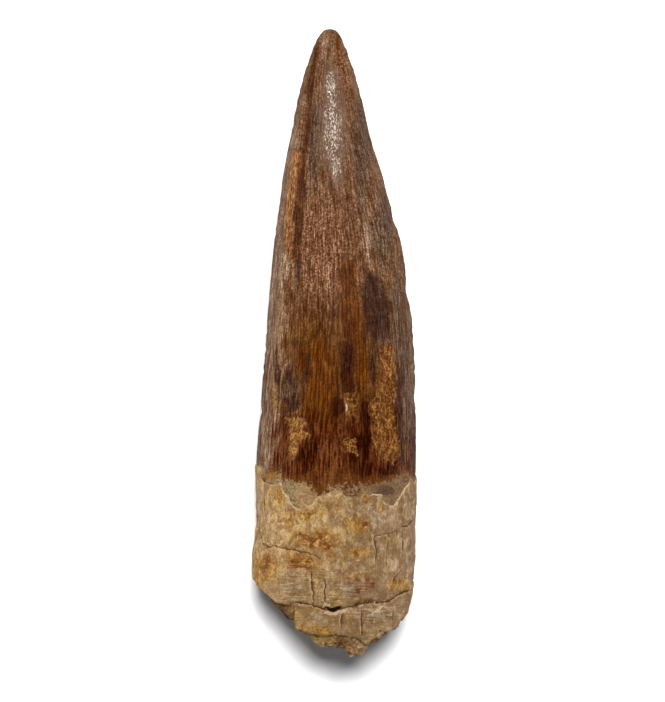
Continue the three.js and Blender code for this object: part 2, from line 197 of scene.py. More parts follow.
HAIR_CRACKS = [
    [(12, -54.7), (14, -54.1), (17, -53.5), (24, -53.3), (27, -53.2), (31, -53.3), (34, -52.8)],
    [(-13, -46.1), (-12.4, -49), (-11.6, -50.8), (-11.4, -54.1)],
    [(-61, -26.6), (-61.6, -32.2), (-62, -34.8), (-60, -37.4)],
    [(25.5, -39.9), (25.7, -41.1), (27.8, -42.8), (27, -46.9)],
    [(38.6, -39.4), (37.6, -41.9), (36.8, -44), (36.6, -45.9)],
    [(45.4, -38.8), (46.5, -40.5)],
    [(52.6, -39.9), (55.4, -42.5), (56.2, -45.2)],
    [(17.2, -54.8), (17.8, -57.7), (18.6, -60.6)],
    [(4.8, -56), (4, -59.3)],
    [(-4.6, -48.8), (-3.7, -50.8), (-4, -53.5)],
    [(46.9, -55), (46, -57.7)],
    [(25.5, -39.9), (31, -39.9), (40.6, -39.4), (45.4, -39)],
    [(50, -38.4), (61.5, -38.1), (64.6, -37.7), (78, -36.9)],
    [(53, -47), (50.4, -47.8), (45.8, -48.8), (43.6, -49.8)],
    [(-70.5, -25.6), (-69, -27), (-63.6, -28.5), (-58, -29.2), (-51, -29.4)],
    [(151, -28.4), (150, -33.6), (152.4, -37.2), (151, -41.6)],
    [(-166, -31), (-165, -35.4), (-167.5, -39.2)],
    [(-142, -33), (-143.4, -38.8), (-141, -44)],
    [(118, -33.4), (116.6, -38.2), (118.4, -42.7)],
    [(-130, -29.6), (-126, -16), (-124, -4)],
    [(140, -27), (138.5, -12), (139.6, 3)],
]
HAIR_HALF_WIDTH = 0.1
HAIR_DEPTH = 0.12

# ---- Lines of the crown's upper face, in x and y ----
GROOVE = [
    (-3.7, 62), (-3.9, 59.2), (-4.7, 55.2), (-5.1, 51.3), (-5.4, 46.9), (-6.1, 41.1), (-6.8, 38.6),
    (-7.2, 34.5), (-7.4, 29.3), (-7.8, 23.1), (-8.2, 17.5),
]
WORN_RIDGE = [
    (-8.1, 38.6), (-8.4, 36.3), (-8.8, 33.4), (-9.1, 29.9), (-9.4, 26.2), (-9.6, 22), (-9.6, 18.9),
    (-9.8, 16.5),
]
CREST = [
    (-10.6, 10.7), (-11.1, 7.4), (-11.6, 2.4), (-11.9, -1.5), (-12, -5.9), (-12.2, -9),
    (-12.2, -12.1), (-11.8, -14.8), (-11, -15.6),
]

# ---- Stains, among them zones of painted sheen, painted light and painted shade: middle across, middle along, half width, half length. ----
# On the upper face across is x, on the under face it is millimetres round from its middle.
STAINS = {
    "dark": {
        "face": [
            (-12, -5.4, 0.4, 3.6), (-8.4, 38.4, 0.4, 0.6), (0.9, -12.9, 1, 2.9), (3.1, -5.3, 1.6, 5.2),
            (4.6, -22.4, 1.3, 3.6), (6.5, -18.3, 1, 7), (-4.5, -22.5, 1.2, 2.4), (-6.6, -24.6, 1, 2.6),
            (6, -26.6, 2.6, 1.6), (10.5, -27, 1.7, 1.7), (12.3, -25.8, 1.2, 1),
        ],
        "back": [
            (-3, -22, 5, 4), (7, -24, 4, 3), (-12, -20, 3, 5), (2, -8, 1.2, 9), (-7.4, 12, 1, 10),
            (9, 6, 1.3, 8), (15, -18, 2, 6), (-16, -6, 1.5, 9), (0.5, 20, 0.9, 9),
        ],
    },
    "plum": {
        "face": [
            # The three at x -7 to -7.9 lie in the groove beside the worn ridge: partly plum stain, partly
            # painted shade there.
            (8, 8, 1.9, 5.4), (7.6, 12.3, 1.5, 2.1), (9, 3.4, 1.2, 2.9), (-7, 34, 0.7, 5),
            (-7.4, 25, 0.8, 7), (-7.9, 16.5, 0.8, 4), (-9, -13.1, 1.8, 1.2), (-9.7, -7.4, 0.8, 2.2),
            (-5.6, -5.4, 0.8, 2.8), (7.6, -5, 0.8, 4), (10.3, 5, 1.4, 6.5), (10.9, -30.7, 1.8, 0.8),
            (13.3, -14, 0.7, 8), (13.6, -22, 0.8, 4),
        ],
        "back": [(5, 10, 2, 6), (-9, -14, 2.5, 5), (12, -6, 2, 8), (-2, 2, 1.6, 5), (-14, 12, 1.6, 7)],
    },
    "gold": {
        "face": [
            (3.2, 13.8, 1.7, 3.3), (3.4, 5.5, 1.9, 5.8), (4.7, 2.4, 0.8, 3.7), (5.7, -6.3, 0.7, 6.2),
            (-1.5, -9, 2.5, 7.5), (-7.1, -3.8, 0.8, 2.5), (-3.2, -1.8, 1.9, 2.9),
            (-0.9, -16.2, 1.9, 2.5), (-4.7, -11.1, 1, 4.1), (1, 62, 0.6, 2.4),
        ],
        "back": [
            (-4, -12, 1.8, 9), (5, -4, 1.4, 10), (-11, 0, 1, 8), (0, 12, 1.2, 8), (11, -14, 1.2, 6),
        ],
    },
    "rusty": {
        "face": [
            (1.8, 57.9, 1.2, 4.1), (-2.6, 18.9, 4.6, 8.3), (13.1, 21, 0.8, 2.5), (14.4, 11.7, 0.6, 4.1),
        ],
        "back": [(3, 22, 3, 9), (-4, 40, 2, 8), (-9, -2, 2, 8)],
    },
    "tan_and_painted_light": {
        "face": [
            # Pale brown streaks; those on the left margin, from x -9.4 to -16.4, and its lower rim are
            # partly painted light.
            (-12.6, 8, 2.2, 22), (-14.4, -18, 1.6, 9), (-9.4, 40, 2, 12), (-10.8, 17, 1, 9),
            (6, 28.5, 0.7, 5), (7, 21, 0.8, 5), (15.8, -6, 0.9, 12), (-16.4, -19, 1.6, 12),
            (-1.9, 61.5, 0.7, 3.5),
        ],
        "back": [(13, 4, 3, 16), (-12, -18, 3, 9), (-3, 30, 2, 12), (24, -18, 4, 14), (-24, -4, 4, 18)],
    },
    # Where the enamel is smoother, and where a painted sheen and painted glints go.
    "gloss": {
        "face": [(-0.4, 44, 2.8, 8), (-0.6, 53, 1.6, 5), (0.6, 36, 1.6, 4)],
        "back": [(-2, 30, 2, 12)],
    },
    "slate_and_painted_shade": {
        "face": [
            # Dark grey-brown stains; those on the right, from x 5.8 to 14.6, are partly painted shade on the
            # darker right side.
            (14.6, -10, 1.6, 14), (13, 2, 1.6, 12), (5.8, 40, 2, 12), (-4.4, 42, 1.5, 9),
            (10.4, 23, 2.2, 8), (-9.4, -9.6, 2.6, 4), (10, 4, 2.4, 8),
        ],
        "back": [(-15, 0, 3, 20), (6, 14, 2.4, 12), (1, -18, 3, 6)],
    },
    "ochre": {
        "face": [
            (-14.6, -46.7, 2.2, 3), (-15.6, -49, 1.2, 1.7), (-6.7, -45, 3.4, 1.3),
            (-3.6, -40.9, 3.7, 1.5), (-2.5, -61, 3, 0.9), (-9, -55, 0.8, 0.7), (-11.3, -32, 0.8, 1.7),
            (-3.6, -35.1, 1, 0.9), (-7.8, -35.6, 0.6, 0.6), (1, -34.5, 0.6, 0.9), (6.5, -32.4, 0.8, 0.6),
            (9.2, -34.7, 0.9, 0.6), (4.9, -37.8, 2, 1.6), (4.9, -43.4, 1.9, 0.8),
            (12.5, -49.8, 0.9, 1.1), (3.6, -48.3, 1.5, 0.6), (14.7, -49.8, 0.8, 1.5),
            (-6.7, -59.7, 1.2, 0.8), (-3, -59.3, 2.1, 0.8), (-13.2, -27.6, 1.9, 1.4),
            (-0.7, -43.8, 1, 0.6), (-5.5, -35.9, 1.7, 1), (-9.6, -36.9, 1, 1.2),
        ],
        "back": [
            (-9, -37, 4, 2), (3, -41, 3, 2), (12, -34, 2, 3), (-16, -44, 3, 2.6), (8, -46.5, 3, 1.4),
            (-3, -33, 2, 1.3), (18, -42, 3, 2), (-6, -47, 2, 1.2),
        ],
    },
    "rust": {
        "face": [
            (-9.2, -45.6, 0.9, 0.7), (-7.6, -46.4, 1, 0.4), (-5.4, -46.5, 1.2, 0.4),
            (-6.6, -45.2, 2.8, 0.5), (6.2, -37.6, 0.7, 0.6), (3.8, -49, 1, 0.6), (5.6, -49.5, 1.3, 0.6),
            (7.6, -50.2, 1.4, 1.2), (5.6, -51.3, 1.8, 0.6), (4.7, -43.2, 0.8, 0.5), (-14, -46, 0.5, 2.2),
            (12.4, -49.6, 0.5, 0.5),
        ],
        "back": [
            (-8, -38, 1.2, 0.6), (-5, -36, 0.7, 0.7), (2, -40.6, 1, 0.5), (4.6, -42, 0.7, 0.6),
            (12.6, -35, 0.6, 1.4), (-15, -45, 1, 0.6), (8.4, -46, 1, 0.5), (-2, -46, 0.9, 0.5),
        ],
    },
    "comb": {
        "face": [(-3.7, -40.9, 3.2, 1.3), (-7.2, -40, 1, 0.7), (-1.2, -42.3, 1.6, 0.6)],
        "back": [(4, -41, 3, 1.4), (-12, -44, 1.6, 1.2)],
    },
    "ash": {
        "face": [
            (-7.8, -31.6, 2.5, 1.2), (11.1, -31.8, 2.3, 1.5), (8.8, -36.5, 2.9, 2),
            (11.9, -35.5, 1.9, 1.2), (-0.1, -36.7, 0.8, 0.4), (-7.6, -50.2, 2.9, 3.3),
            (3.6, -50.6, 2.5, 1.9), (7.6, -52.1, 1.9, 1.2), (8.4, -56.4, 4, 1.4), (-3, -56.6, 4, 0.8),
            (12.5, -45.2, 1, 2.1), (-3.4, -36.9, 0.8, 0.4), (-16, -32.8, 0.6, 4.1),
            (15.6, -47.3, 0.6, 4.1),
        ],
        "back": [
            (-12, -31, 3, 1.6), (6, -36, 2.4, 2), (-2, -39, 2, 1.6), (14, -46, 3, 2), (-8, -43, 3, 1.4),
        ],
    },
    # Pale crust marks, and at y -13.8 on the crown the place of a painted glint in the middle chip.
    "pale": {
        "face": [
            (-10.9, -29.7, 0.2, 0.5), (-10, -31.4, 0.4, 0.4), (-9.1, -32.6, 0.3, 0.5),
            (-8, -34.2, 0.6, 0.2), (-4.8, -33.5, 0.4, 0.2), (-4, -38.2, 0.6, 0.1), (4.9, -45, 0.8, 0.2),
            (-11, -45, 0.3, 0.3), (-11.1, -37.6, 0.4, 0.3), (1.6, -55.6, 1.4, 0.4),
            (-0.8, -56, 1.5, 0.4), (-1.6, -54.3, 1.2, 0.3), (8.4, -55.8, 1.6, 0.3), (10.3, -55, 1, 0.3),
            (2.3, -13.8, 0.2, 1), (6.1, -38.2, 0.3, 0.2), (12.9, -33.4, 0.8, 0.3),
            (14.2, -31.1, 0.3, 0.6),
        ],
        "back": [
            (-6, -34.6, 0.8, 0.3), (3.4, -37.2, 0.6, 0.2), (9, -41.2, 0.9, 0.3), (-13, -40, 0.5, 0.4),
        ],
    },
    "lined": {
        "face": [
            (-7.1, -50.2, 2.9, 3.3), (-0.1, -51.4, 2.1, 2.5), (3.2, -51, 1.5, 1.9), (9, -56, 3.7, 1.5),
            (-2, -47.7, 1.7, 0.8),
        ],
        "back": [(-10, -46, 5, 3), (6, -48, 4, 2)],
    },
}

# ---- Grid of the skin ----
COLUMNS = 36
CROWDING = 20  # degrees by which the columns crowd towards the upper face
SPLITS = 3  # each cell of the peg is halved this often
CROWN_STATIONS = [TIP - 0.5, TIP - 1.8, 61.3, 57.5, 53, 47.5, 41, 34, 27, 19.5, 12, 5]
FINE_STEP = 2.5
FINE_END = -35
STRETCH_FROM = -44  # below this the rings stretch to meet the rim
NOMINAL_END = -58
ROOT_STEPS = 8
BREAK_SHARES = [0.93, 0.8, 0.6, 0.35]
CHORD = 2  # degrees: the cosine of this is the least share that still counts as the whole section
ON_SKIN = 0.999  # points with at least this share belong to the skin, not to the broken face

# ---- Form of the section ----
CROWN_POWER = 2.12  # power of the crown's section: 2 is an ellipse, and more is squarer
ROOT_SQUARER = 0.18  # how much more it is at the root
TIP_CURVE = 0.4  # power by which the section draws in over the rounded tip
GIRDLE = 15  # radius of the plain tube on which the grain is laid out

# ---- The broken end ----
BREAK_MIDDLE = -56  # where the broken face crosses the axis
BREAK_SLOPE = 0.42  # how steeply it leans, so that the upper side reaches further
BREAK_LEAN = 0.12  # how much it leans sideways, so that the right side reaches further
BREAK_RUN = 0.34  # share of the radius over which the rim falls away to it
PULP_DEPTH = 4.5
PULP_SHARE = 0.42

# ---- Depths of the wear ----
NICK_HALF_WIDTH = 26  # in degrees of bearing
KEEL_HALF_WIDTH = 9
CRUST_LIP = 0.09
FOOT_STEP = 0.1
RIDGE_WEAR = 0.22
RIDGE_HALF_WIDTH = 1.0
GAPE_DEPTH = 1.6
CHIP_DEPTH = 0.25
CREST_WEAR = 0.16
BARED_DEPTH = 0.75

ROUND_SCALE = 0.28  # millimetres round the root for each degree of bearing
FAR = 99.0
LATTICE = 32
LAYER_SHIFT = 7.3  # keeps the layers of a random field from lining up


# ---- Helpers for numbers ----
def smooth(value, start, end):
    """0 up to start, 1 from end, with a soft slope between them."""
    t = np.clip((value - start) / (end - start), 0, 1)
    return t * t * (3 - 2 * t)


def along(table, key):
    """Smooth curve through a table of (key, value) rows."""
    rows = np.array(sorted(table), float)
    keys, values = rows.T
    slopes = np.empty(len(rows))
    slopes[1:-1] = (values[2:] - values[:-2]) / (keys[2:] - keys[:-2])
    slopes[0] = (values[1] - values[0]) / (keys[1] - keys[0])
    slopes[-1] = (values[-1] - values[-2]) / (keys[-1] - keys[-2])
    at = np.clip(key, keys[0], keys[-1])
    i = np.clip(np.searchsorted(keys, at, side="right") - 1, 0, len(rows) - 2)
    span = keys[i + 1] - keys[i]
    t = (at - keys[i]) / span
    rise = t * t * (3 - 2 * t)
    leave = t * (1 - t) ** 2 * span * slopes[i]
    reach = t * t * (1 - t) * span * slopes[i + 1]
    return values[i] + (values[i + 1] - values[i]) * rise + leave - reach


def turn(start, end):
    """Shortest way from one bearing to another, in degrees."""
    return (end - start + 180) % 360 - 180


def bump(value, half):
    """A hump of height 1 around 0."""
    return np.exp(-((value / half) ** 2))


def cloud(points, size, seed, layers=1):
    """Smooth random field from about -1 to 1, with lumps about size across."""
    lattice = np.random.default_rng(seed).uniform(-1, 1, (LATTICE,) * 3)
    total = np.zeros(len(points))
    for layer in range(layers):
        place = points * (2**layer / size) + LAYER_SHIFT * layer
        cell = np.floor(place).astype(int)
        t = place - cell
        t = t * t * (3 - 2 * t)
        for corner in itertools.product((0, 1), repeat=3):
            weight = np.prod(np.where(corner, t, 1 - t), axis=1)
            index = (cell + corner) % LATTICE
            total += weight * lattice[tuple(index.T)] / 2**layer
    return total


def distance_to(line, x, y, closed=False):
    """Distance to a line of straight pieces, its sign by side, and how far along the line it is met."""
    ends = line[1:] + line[:1] if closed else line[1:]
    nearest = np.full(len(x), FAR)
    side = np.ones(len(x))
    met = np.zeros(len(x))
    for number, ((ax, ay), (bx, by)) in enumerate(zip(line, ends)):
        dx, dy = bx - ax, by - ay
        t = np.clip(((x - ax) * dx + (y - ay) * dy) / (dx * dx + dy * dy), 0, 1)
        away = np.hypot(x - ax - t * dx, y - ay - t * dy)
        closer = away < nearest
        nearest = np.where(closer, away, nearest)
        side = np.where(closer, np.sign((x - ax) * dy - (y - ay) * dx), side)
        met = np.where(closer, (number + t) / len(ends), met)
    return nearest, side, met


def inside(outline, x, y):
    """Signed distance to a closed outline, positive inside it."""
    nearest, _, _ = distance_to(outline, x, y, closed=True)
    within = np.zeros(len(x), bool)
    for (ax, ay), (bx, by) in zip(outline, outline[1:] + outline[:1]):
        crosses = (ay > y) != (by > y)
        reach = ax + (y - ay) * (bx - ax) / ((by - ay) or 1)
        within ^= crosses & (x < reach)
    return np.where(within, nearest, -nearest)


def inside_any(outlines, x, y):
    """The same for the nearest of several outlines."""
    return np.max([inside(outline, x, y) for outline in outlines], axis=0)


# ---- The peg ----
def section(y):
    """Middle and half sizes of the tooth's section at y: x, z, half width, half height."""
    left, right = along(LEFT_EDGE, y), along(RIGHT_EDGE, y)
    upper, lower = along(UPPER_EDGE, y), along(LOWER_EDGE, y)
    return (left + right) / 2, (upper + lower) / 2, (right - left) / 2, (upper - lower) / 2


def draw_ring(before, after):
    """Extrudes the selected ring to the next station. A station is (y, share of the section)."""
    (y0, share0), (y1, share1) = before, after
    x0, z0, width0, height0 = section(y0)
    x1, z1, width1, height1 = section(y1)
    shift = np.array([x1 - x0, y1 - y0, z1 - z0]) * MM
    bpy.ops.mesh.extrude_edges_move(TRANSFORM_OT_translate={"value": shift})
    bpy.ops.transform.resize(
        value=(width1 * share1 / (width0 * share0), 1, height1 * share1 / (height0 * share0)),
        center_override=np.array([x1, y1, z1]) * MM,
    )


def close_ring(y):
    """Draws the selected ring together to a point on the axis at y."""
    bpy.ops.mesh.extrude_edges_move()
    bpy.ops.mesh.merge(type="CENTER")
    edit = bpy.context.edit_object
    edit.update_from_editmode()
    (pole,) = [v.co for v in edit.data.vertices if v.select]
    x, z, _, _ = section(y)
    bpy.ops.transform.translate(value=Vector((x * MM, y * MM, z * MM)) - pole)


def select_ring(y):
    """Selects the ring of points that lies at y."""
    bpy.ops.mesh.select_all(action="DESELECT")
    bpy.ops.object.mode_set(mode="OBJECT")
    mesh = bpy.context.object.data
    for edge in mesh.edges:
        edge.select = all(abs(mesh.vertices[i].co.y - y * MM) < 1e-6 for i in edge.vertices)
    bpy.ops.object.mode_set(mode="EDIT")


def stations():
    """Where the peg's rings lie, from the tip to the broken end, as (y, share of the section)."""
    fine = np.arange(CROWN_STATIONS[-1] - FINE_STEP, FINE_END - 0.1, -FINE_STEP)
    root = np.linspace(fine[-1], NOMINAL_END, ROOT_STEPS + 1)[1:]
    whole = [(y, 1.0) for y in [*CROWN_STATIONS, *fine, *root]]
    return whole + [(NOMINAL_END, share) for share in BREAK_SHARES]


def model_peg():
    """The tooth's plain form: a stack of oval rings, closed at the tip and at the broken end."""
    bpy.ops.object.select_all(action="DESELECT")
    x, z, half_width, half_height = section(CROWN_STATIONS[0])
    middle = np.array([x, CROWN_STATIONS[0], z]) * MM
    upright = (math.pi / 2, 0, 0)
    bpy.ops.mesh.primitive_circle_add(vertices=COLUMNS, radius=MM, location=middle, rotation=upright)
    tooth = bpy.context.object
    tooth.name = "fossil_tooth"
    bpy.ops.object.transform_apply(location=True, rotation=True, scale=True)
    bpy.ops.object.mode_set(mode="EDIT")
    bpy.ops.mesh.select_all(action="SELECT")
    bpy.ops.transform.resize(value=(half_width, 1, half_height), center_override=middle)
    for before, after in itertools.pairwise(stations()):
        draw_ring(before, after)
    close_ring(NOMINAL_END)
    select_ring(CROWN_STATIONS[0])
    close_ring(TIP)
    bpy.ops.mesh.select_all(action="SELECT")
    bpy.ops.mesh.normals_make_consistent(inside=False)
    bpy.ops.object.mode_set(mode="OBJECT")

    finer = tooth.modifiers.new("finer", "SUBSURF")
    finer.subdivision_type = "SIMPLE"
    finer.levels = finer.render_levels = SPLITS
    bpy.ops.object.modifier_apply(modifier=finer.name)
    return tooth


# ---- The skin ----
def read_skin(tooth):
    """Where each point of the peg lies on the tooth: its bearing, y and share of the section."""
    co = np.empty(len(tooth.data.vertices) * 3)
    tooth.data.vertices.foreach_get("co", co)
    co = co.reshape(-1, 3) / MM
    nominal = np.clip(co[:, 1], NOMINAL_END, TIP)
    x, z, half_width, half_height = section(nominal)
    across, upward = (co[:, 0] - x) / half_width, (co[:, 2] - z) / half_height
    even = np.degrees(np.arctan2(across, upward))
    bearing = even - CROWDING * np.sin(np.radians(even))
    on_end = nominal < NOMINAL_END + 1e-3
    share = np.minimum(np.hypot(across, upward) / np.cos(np.radians(CHORD)), 1)
    share = np.where(on_end, share, 1)

    skin = SimpleNamespace(bearing=bearing, share=share, on_end=on_end & (share < ON_SKIN), marks={})
    skin.angle = np.radians(bearing)
    flat = np.zeros(len(bearing))
    girdle = GIRDLE * np.column_stack([np.cos(skin.angle), np.sin(skin.angle), flat])
    skin.rim = along(RIM, bearing) + 0.2 * cloud(girdle, 1.1, 3) + 0.12 * cloud(girdle, 0.45, 4)
    stretch = (skin.rim - STRETCH_FROM) / (NOMINAL_END - STRETCH_FROM)
    stretched = STRETCH_FROM + (nominal - STRETCH_FROM) * stretch
    skin.y = np.where(nominal < STRETCH_FROM, stretched, nominal)
    skin.girdle = girdle + np.column_stack([flat, flat, skin.y])
    return skin


def find_places(skin):
    """The plain place of each point, its section's middle, and the way out from it."""
    skin.round = np.clip((TIP - skin.y) / ROUND_TIP, 0, 1) ** TIP_CURVE
    middle_x, middle_z, half_width, half_height = section(skin.y)
    sine, cosine = np.sin(skin.angle), np.cos(skin.angle)
    power = 2 / (CROWN_POWER + ROOT_SQUARER * smooth(-skin.y, 0, 40))
    off_x = np.sign(sine) * np.abs(sine) ** power * half_width * skin.round
    off_z = np.sign(cosine) * np.abs(cosine) ** power * half_height * skin.round
    skin.middle = np.column_stack([middle_x, middle_z])
    skin.section = np.column_stack([off_x, off_z])
    out = np.column_stack([sine / half_width, cosine / half_height])
    skin.out = out / np.linalg.norm(out, axis=1, keepdims=True)
    skin.x = middle_x + off_x
    skin.z = middle_z + off_z
    skin.place = np.column_stack([skin.x, skin.y, skin.z])
    skin.upper = smooth(cosine, 0.0, 0.12)
    skin.hidden = FAR * (1 - skin.upper)
    skin.back = turn(180, skin.bearing) * ROUND_SCALE * np.minimum(half_width / SIDE + 0.05, 1)


def flutes(skin):
    """Ridges and grooves along the crown, with a fine ribbing over them."""
    share = (TIP - skin.y) / (TIP - CROWN_FOOT)
    fade = smooth(share, 0.02, 0.2) * (1 - 0.85 * smooth(share, 0.75, 1.15))
    height = np.zeros(len(share))
    for at_tip, at_foot, rise, half in FLUTES:
        bearing = at_tip + (at_foot - at_tip) * np.minimum(share, 1)
        height += rise * bump(turn(bearing, skin.bearing), half)
    for at_tip, at_foot, rise, half in CRESTS:
        bearing = at_tip + (at_foot - at_tip) * np.minimum(share, 1)
        height += rise * np.exp(-np.abs(turn(bearing, skin.bearing)) / half)
    drawn = skin.girdle * (1, 1, 0.05)
    ribs = 0.05 * cloud(drawn, 0.7, 11) + 0.05 * cloud(drawn * (1, 1, 0.7), 1.6, 12)
    return (height + ribs * smooth(share, 0.1, 0.3)) * fade


def nicks(skin):
    """What has broken out of the keels and worn off the tip."""
    depth = np.zeros(len(skin.y))
    for bearing, y, deep, half in NICKS:
        depth += deep * bump(skin.y - y, half) * bump(turn(bearing, skin.bearing), NICK_HALF_WIDTH)
    right, left = (bump(turn(side, skin.bearing), KEEL_HALF_WIDTH) for side in (90, -90))
    teeth = np.clip(cloud(skin.place * (0, 1, 0), 0.9, 13, layers=2), 0, 1)
    chewed = 0.2 * np.maximum(right, left) * teeth * smooth(skin.y, -26, -18)
    worn = 0.22 * cloud(skin.place, 1.4, 14, layers=2) * smooth(skin.y, 54, 62)
    return -depth - chewed + worn


def lumps(skin):
    """Low lumps and pits of the weathered root, and faint waviness of the crown."""
    fade = smooth(-skin.y, 28, 36)
    wide = np.sin(3 * skin.angle + 0.21 * skin.y + 1.3) * np.sin(0.33 * skin.y + skin.angle)
    rough = 0.16 * cloud(skin.place, 3.2, 21, layers=2) + 0.07 * cloud(skin.place, 0.8, 22, layers=2)
    growth = 0.03 * np.sin(skin.y * 9 + 2 * cloud(skin.place * (1, 0.3, 1), 2.5, 23))
    worn = 0.03 * cloud(skin.place * (1, 0.4, 1), 1.1, 24)
    return fade * (0.14 * wide + rough + growth * skin.marks["lined"]) + (1 - fade) * worn


def ragged(skin, x, y, amount, size):
    """x and y pushed about a little, which makes a drawn line ragged."""
    shift_x = amount * cloud(skin.place, size, 31, layers=2)
    shift_y = amount * cloud(skin.place, size, 32, layers=2)
    return x + shift_x, y + shift_y


def edge_distance(skin, table, amount, size):
    """How far above an edge that runs round the tooth each point lies."""
    b, y = ragged(skin, skin.bearing, skin.y, amount, size)
    step = 0.5
    slope = (along(table, b + step) - along(table, b - step)) / (2 * step * ROUND_SCALE)
    return (y - along(table, b)) / np.hypot(1, slope)


def mark_edges(skin):
    """Marks how far each point is inside the crust, and above the foot of the enamel."""
    skin.marks["crust"] = -edge_distance(skin, CRUST_EDGE, 0.22, 1.0)
    soft = 1 + 2.5 * bump(turn(2, skin.bearing), 14)
    skin.marks["foot"] = edge_distance(skin, ENAMEL_FOOT, 0.3, 1.2) / soft


def mark_scars(skin):
    """Marks the scars as signed distances, positive inside them."""
    x, y = ragged(skin, skin.x, skin.y, 0.2, 0.9)
    u, v = ragged(skin, skin.back, skin.y, 0.25, 0.9)
    on_face = inside_any(SPALLS, x, y) - skin.hidden
    on_back = inside_any(BACK_SPALLS, u, v) - FAR * skin.upper
    skin.marks["spall"] = np.maximum(on_face, on_back)
    skin.marks["gape"] = inside(GAPE, x, y) - skin.hidden
    skin.marks["chip"] = inside_any(CHIPS, x, y) - skin.hidden
    gone = BARED_FROM + [(BARED_FROM[-1][0], -90), (BARED_FROM[0][0], -90)]
    skin.marks["bared"] = inside(gone, *ragged(skin, skin.x, skin.y, 0.25, 1.1)) - skin.hidden


def mark_cracks(skin):
    """Marks how many half widths away the nearest crack is, and on which side of it the point lies."""
    near = np.full(len(skin.y), FAR)
    side = np.full(len(skin.y), FAR)
    depth = np.zeros(len(skin.y))
    b, y = ragged(skin, skin.bearing * ROUND_SCALE, skin.y, 0.2, 0.7)
    girth = 360 * ROUND_SCALE
    swell = 1 + 0.7 * cloud(skin.place, 1.6, 33)
    hairs = [(HAIR_HALF_WIDTH, HAIR_DEPTH, crack) for crack in HAIR_CRACKS]
    for half, deep, crack in OPEN_CRACKS + hairs:
        points = [(bearing * ROUND_SCALE, at) for bearing, at in crack]
        middle = points[len(points) // 2][0]
        u = (b - middle + girth / 2) % girth - girth / 2 + middle
        away, sign, met = distance_to(points, u, y)
        taper = 0.5 + 0.5 * np.sin(np.pi * np.clip(met, 0.02, 0.98))
        ratio = away / (half * taper * np.clip(swell, 0.7, 1.7))
        depth = np.maximum(depth, deep * taper * bump(away, max(1.3 * half, 0.17)))
        side = np.where(ratio < near, ratio * sign, side)
        near = np.minimum(near, ratio)
    skin.marks["crack_near"] = near
    skin.marks["crack_side"] = side
    skin.crack_depth = depth


def mark_lines(skin):
    """Marks the groove, the worn ridge and the golden crest of the crown's upper face."""
    on_face = skin.hidden < 1
    x, y = ragged(skin, skin.x, skin.y, 0.12, 1.5)
    away, _, met = distance_to(GROOVE, x, y)
    skin.marks["groove"] = bump(away, 0.45 + 0.5 * met) * on_face
    away, _, met = distance_to(WORN_RIDGE, x, y)
    half = RIDGE_HALF_WIDTH * (1 - met) ** 0.7
    skin.marks["ridge"] = np.where(on_face, half - away, -FAR)
    away, _, met = distance_to(CREST, x, y)
    skin.marks["crest"] = bump(away, 0.45) * on_face * smooth(met, 0, 0.1)


def mark_stains(skin):
    """Marks the stains, among them zones of painted sheen, light and shade, softly, from 0 to 1."""
    long = 1 + 2 * smooth(skin.y, -30, -26)
    shift_x = 0.55 * cloud(skin.place * (1, 0.4, 1), 1.5, 34, layers=3)
    y = skin.y + 0.55 * long * cloud(skin.place, 1.5, 35, layers=3)
    sides = {"face": (skin.x, skin.upper), "back": (skin.back, 1 - skin.upper)}
    for name, stains in STAINS.items():
        mask = np.zeros(len(skin.y))
        for side, (base, shown) in sides.items():
            x = base + shift_x
            for middle_x, middle_y, half_width, half_length in stains[side]:
                off = np.hypot((x - middle_x) / half_width, (y - middle_y) / half_length)
                mask = np.maximum(mask, bump(off, 1.2) * shown)
        skin.marks[name] = mask


def scars(skin):
    """Height lost or gained at the crust's edge, the scars and the cracks."""
    marks = skin.marks
    crust = marks["crust"]
    height = CROWN_LIFT + (CRUST_LIFT - CROWN_LIFT) * smooth(crust, -0.1, 0.22)
    height += CRUST_LIP * bump(crust - 0.4, 0.35)
    height -= FOOT_STEP * smooth(-marks["foot"], -0.1, 0.15) * (1 - smooth(crust, -0.1, 0.2))
    grains = cloud(skin.place, 0.8, 41, layers=2)
    floor = ENAMEL + 0.1 * grains + 0.1 * cloud(skin.place, 2.5, 42)
    height -= floor * smooth(marks["spall"], -0.12, 0.2)
    height -= RIDGE_WEAR * smooth(marks["ridge"], -0.1, 0.25) * (1 + 0.3 * grains)
    height -= GAPE_DEPTH * smooth(marks["gape"], -0.15, 0.3)
    height -= CHIP_DEPTH * smooth(marks["chip"], -0.1, 0.2)
    height -= CREST_WEAR * smooth(marks["crest"], 0.3, 0.9) * smooth(-skin.y, -1, 1)
    bared = marks["bared"]
    recess = BARED_DEPTH + 0.35 * np.clip(bared, 0, 2.5) + 0.35 * cloud(skin.place, 1.3, 43, layers=3)
    height -= recess * smooth(bared, -0.12, 0.28)
    return height - skin.crack_depth


def broken_face(skin):
    """y of the broken end at each point of it."""
    share = skin.share
    fall = BREAK_SLOPE * (THICKNESS / 2) * np.cos(skin.angle) + BREAK_LEAN * SIDE * np.sin(skin.angle)
    plane = BREAK_MIDDLE - fall * share
    inward = smooth(1 - share, 0, BREAK_RUN)
    pulp = PULP_DEPTH * smooth(PULP_SHARE - share, 0, 0.16)
    place = np.column_stack([skin.x * share, skin.z * share, np.zeros(len(share))])
    rough = 0.9 * cloud(place, 5, 51) + 0.45 * cloud(place, 1.8, 52, layers=3)
    edge = smooth(1 - share, 0, 0.05)
    return skin.rim + (plane - skin.rim) * inward + pulp + rough * edge * smooth(share, 0.0, 0.1)


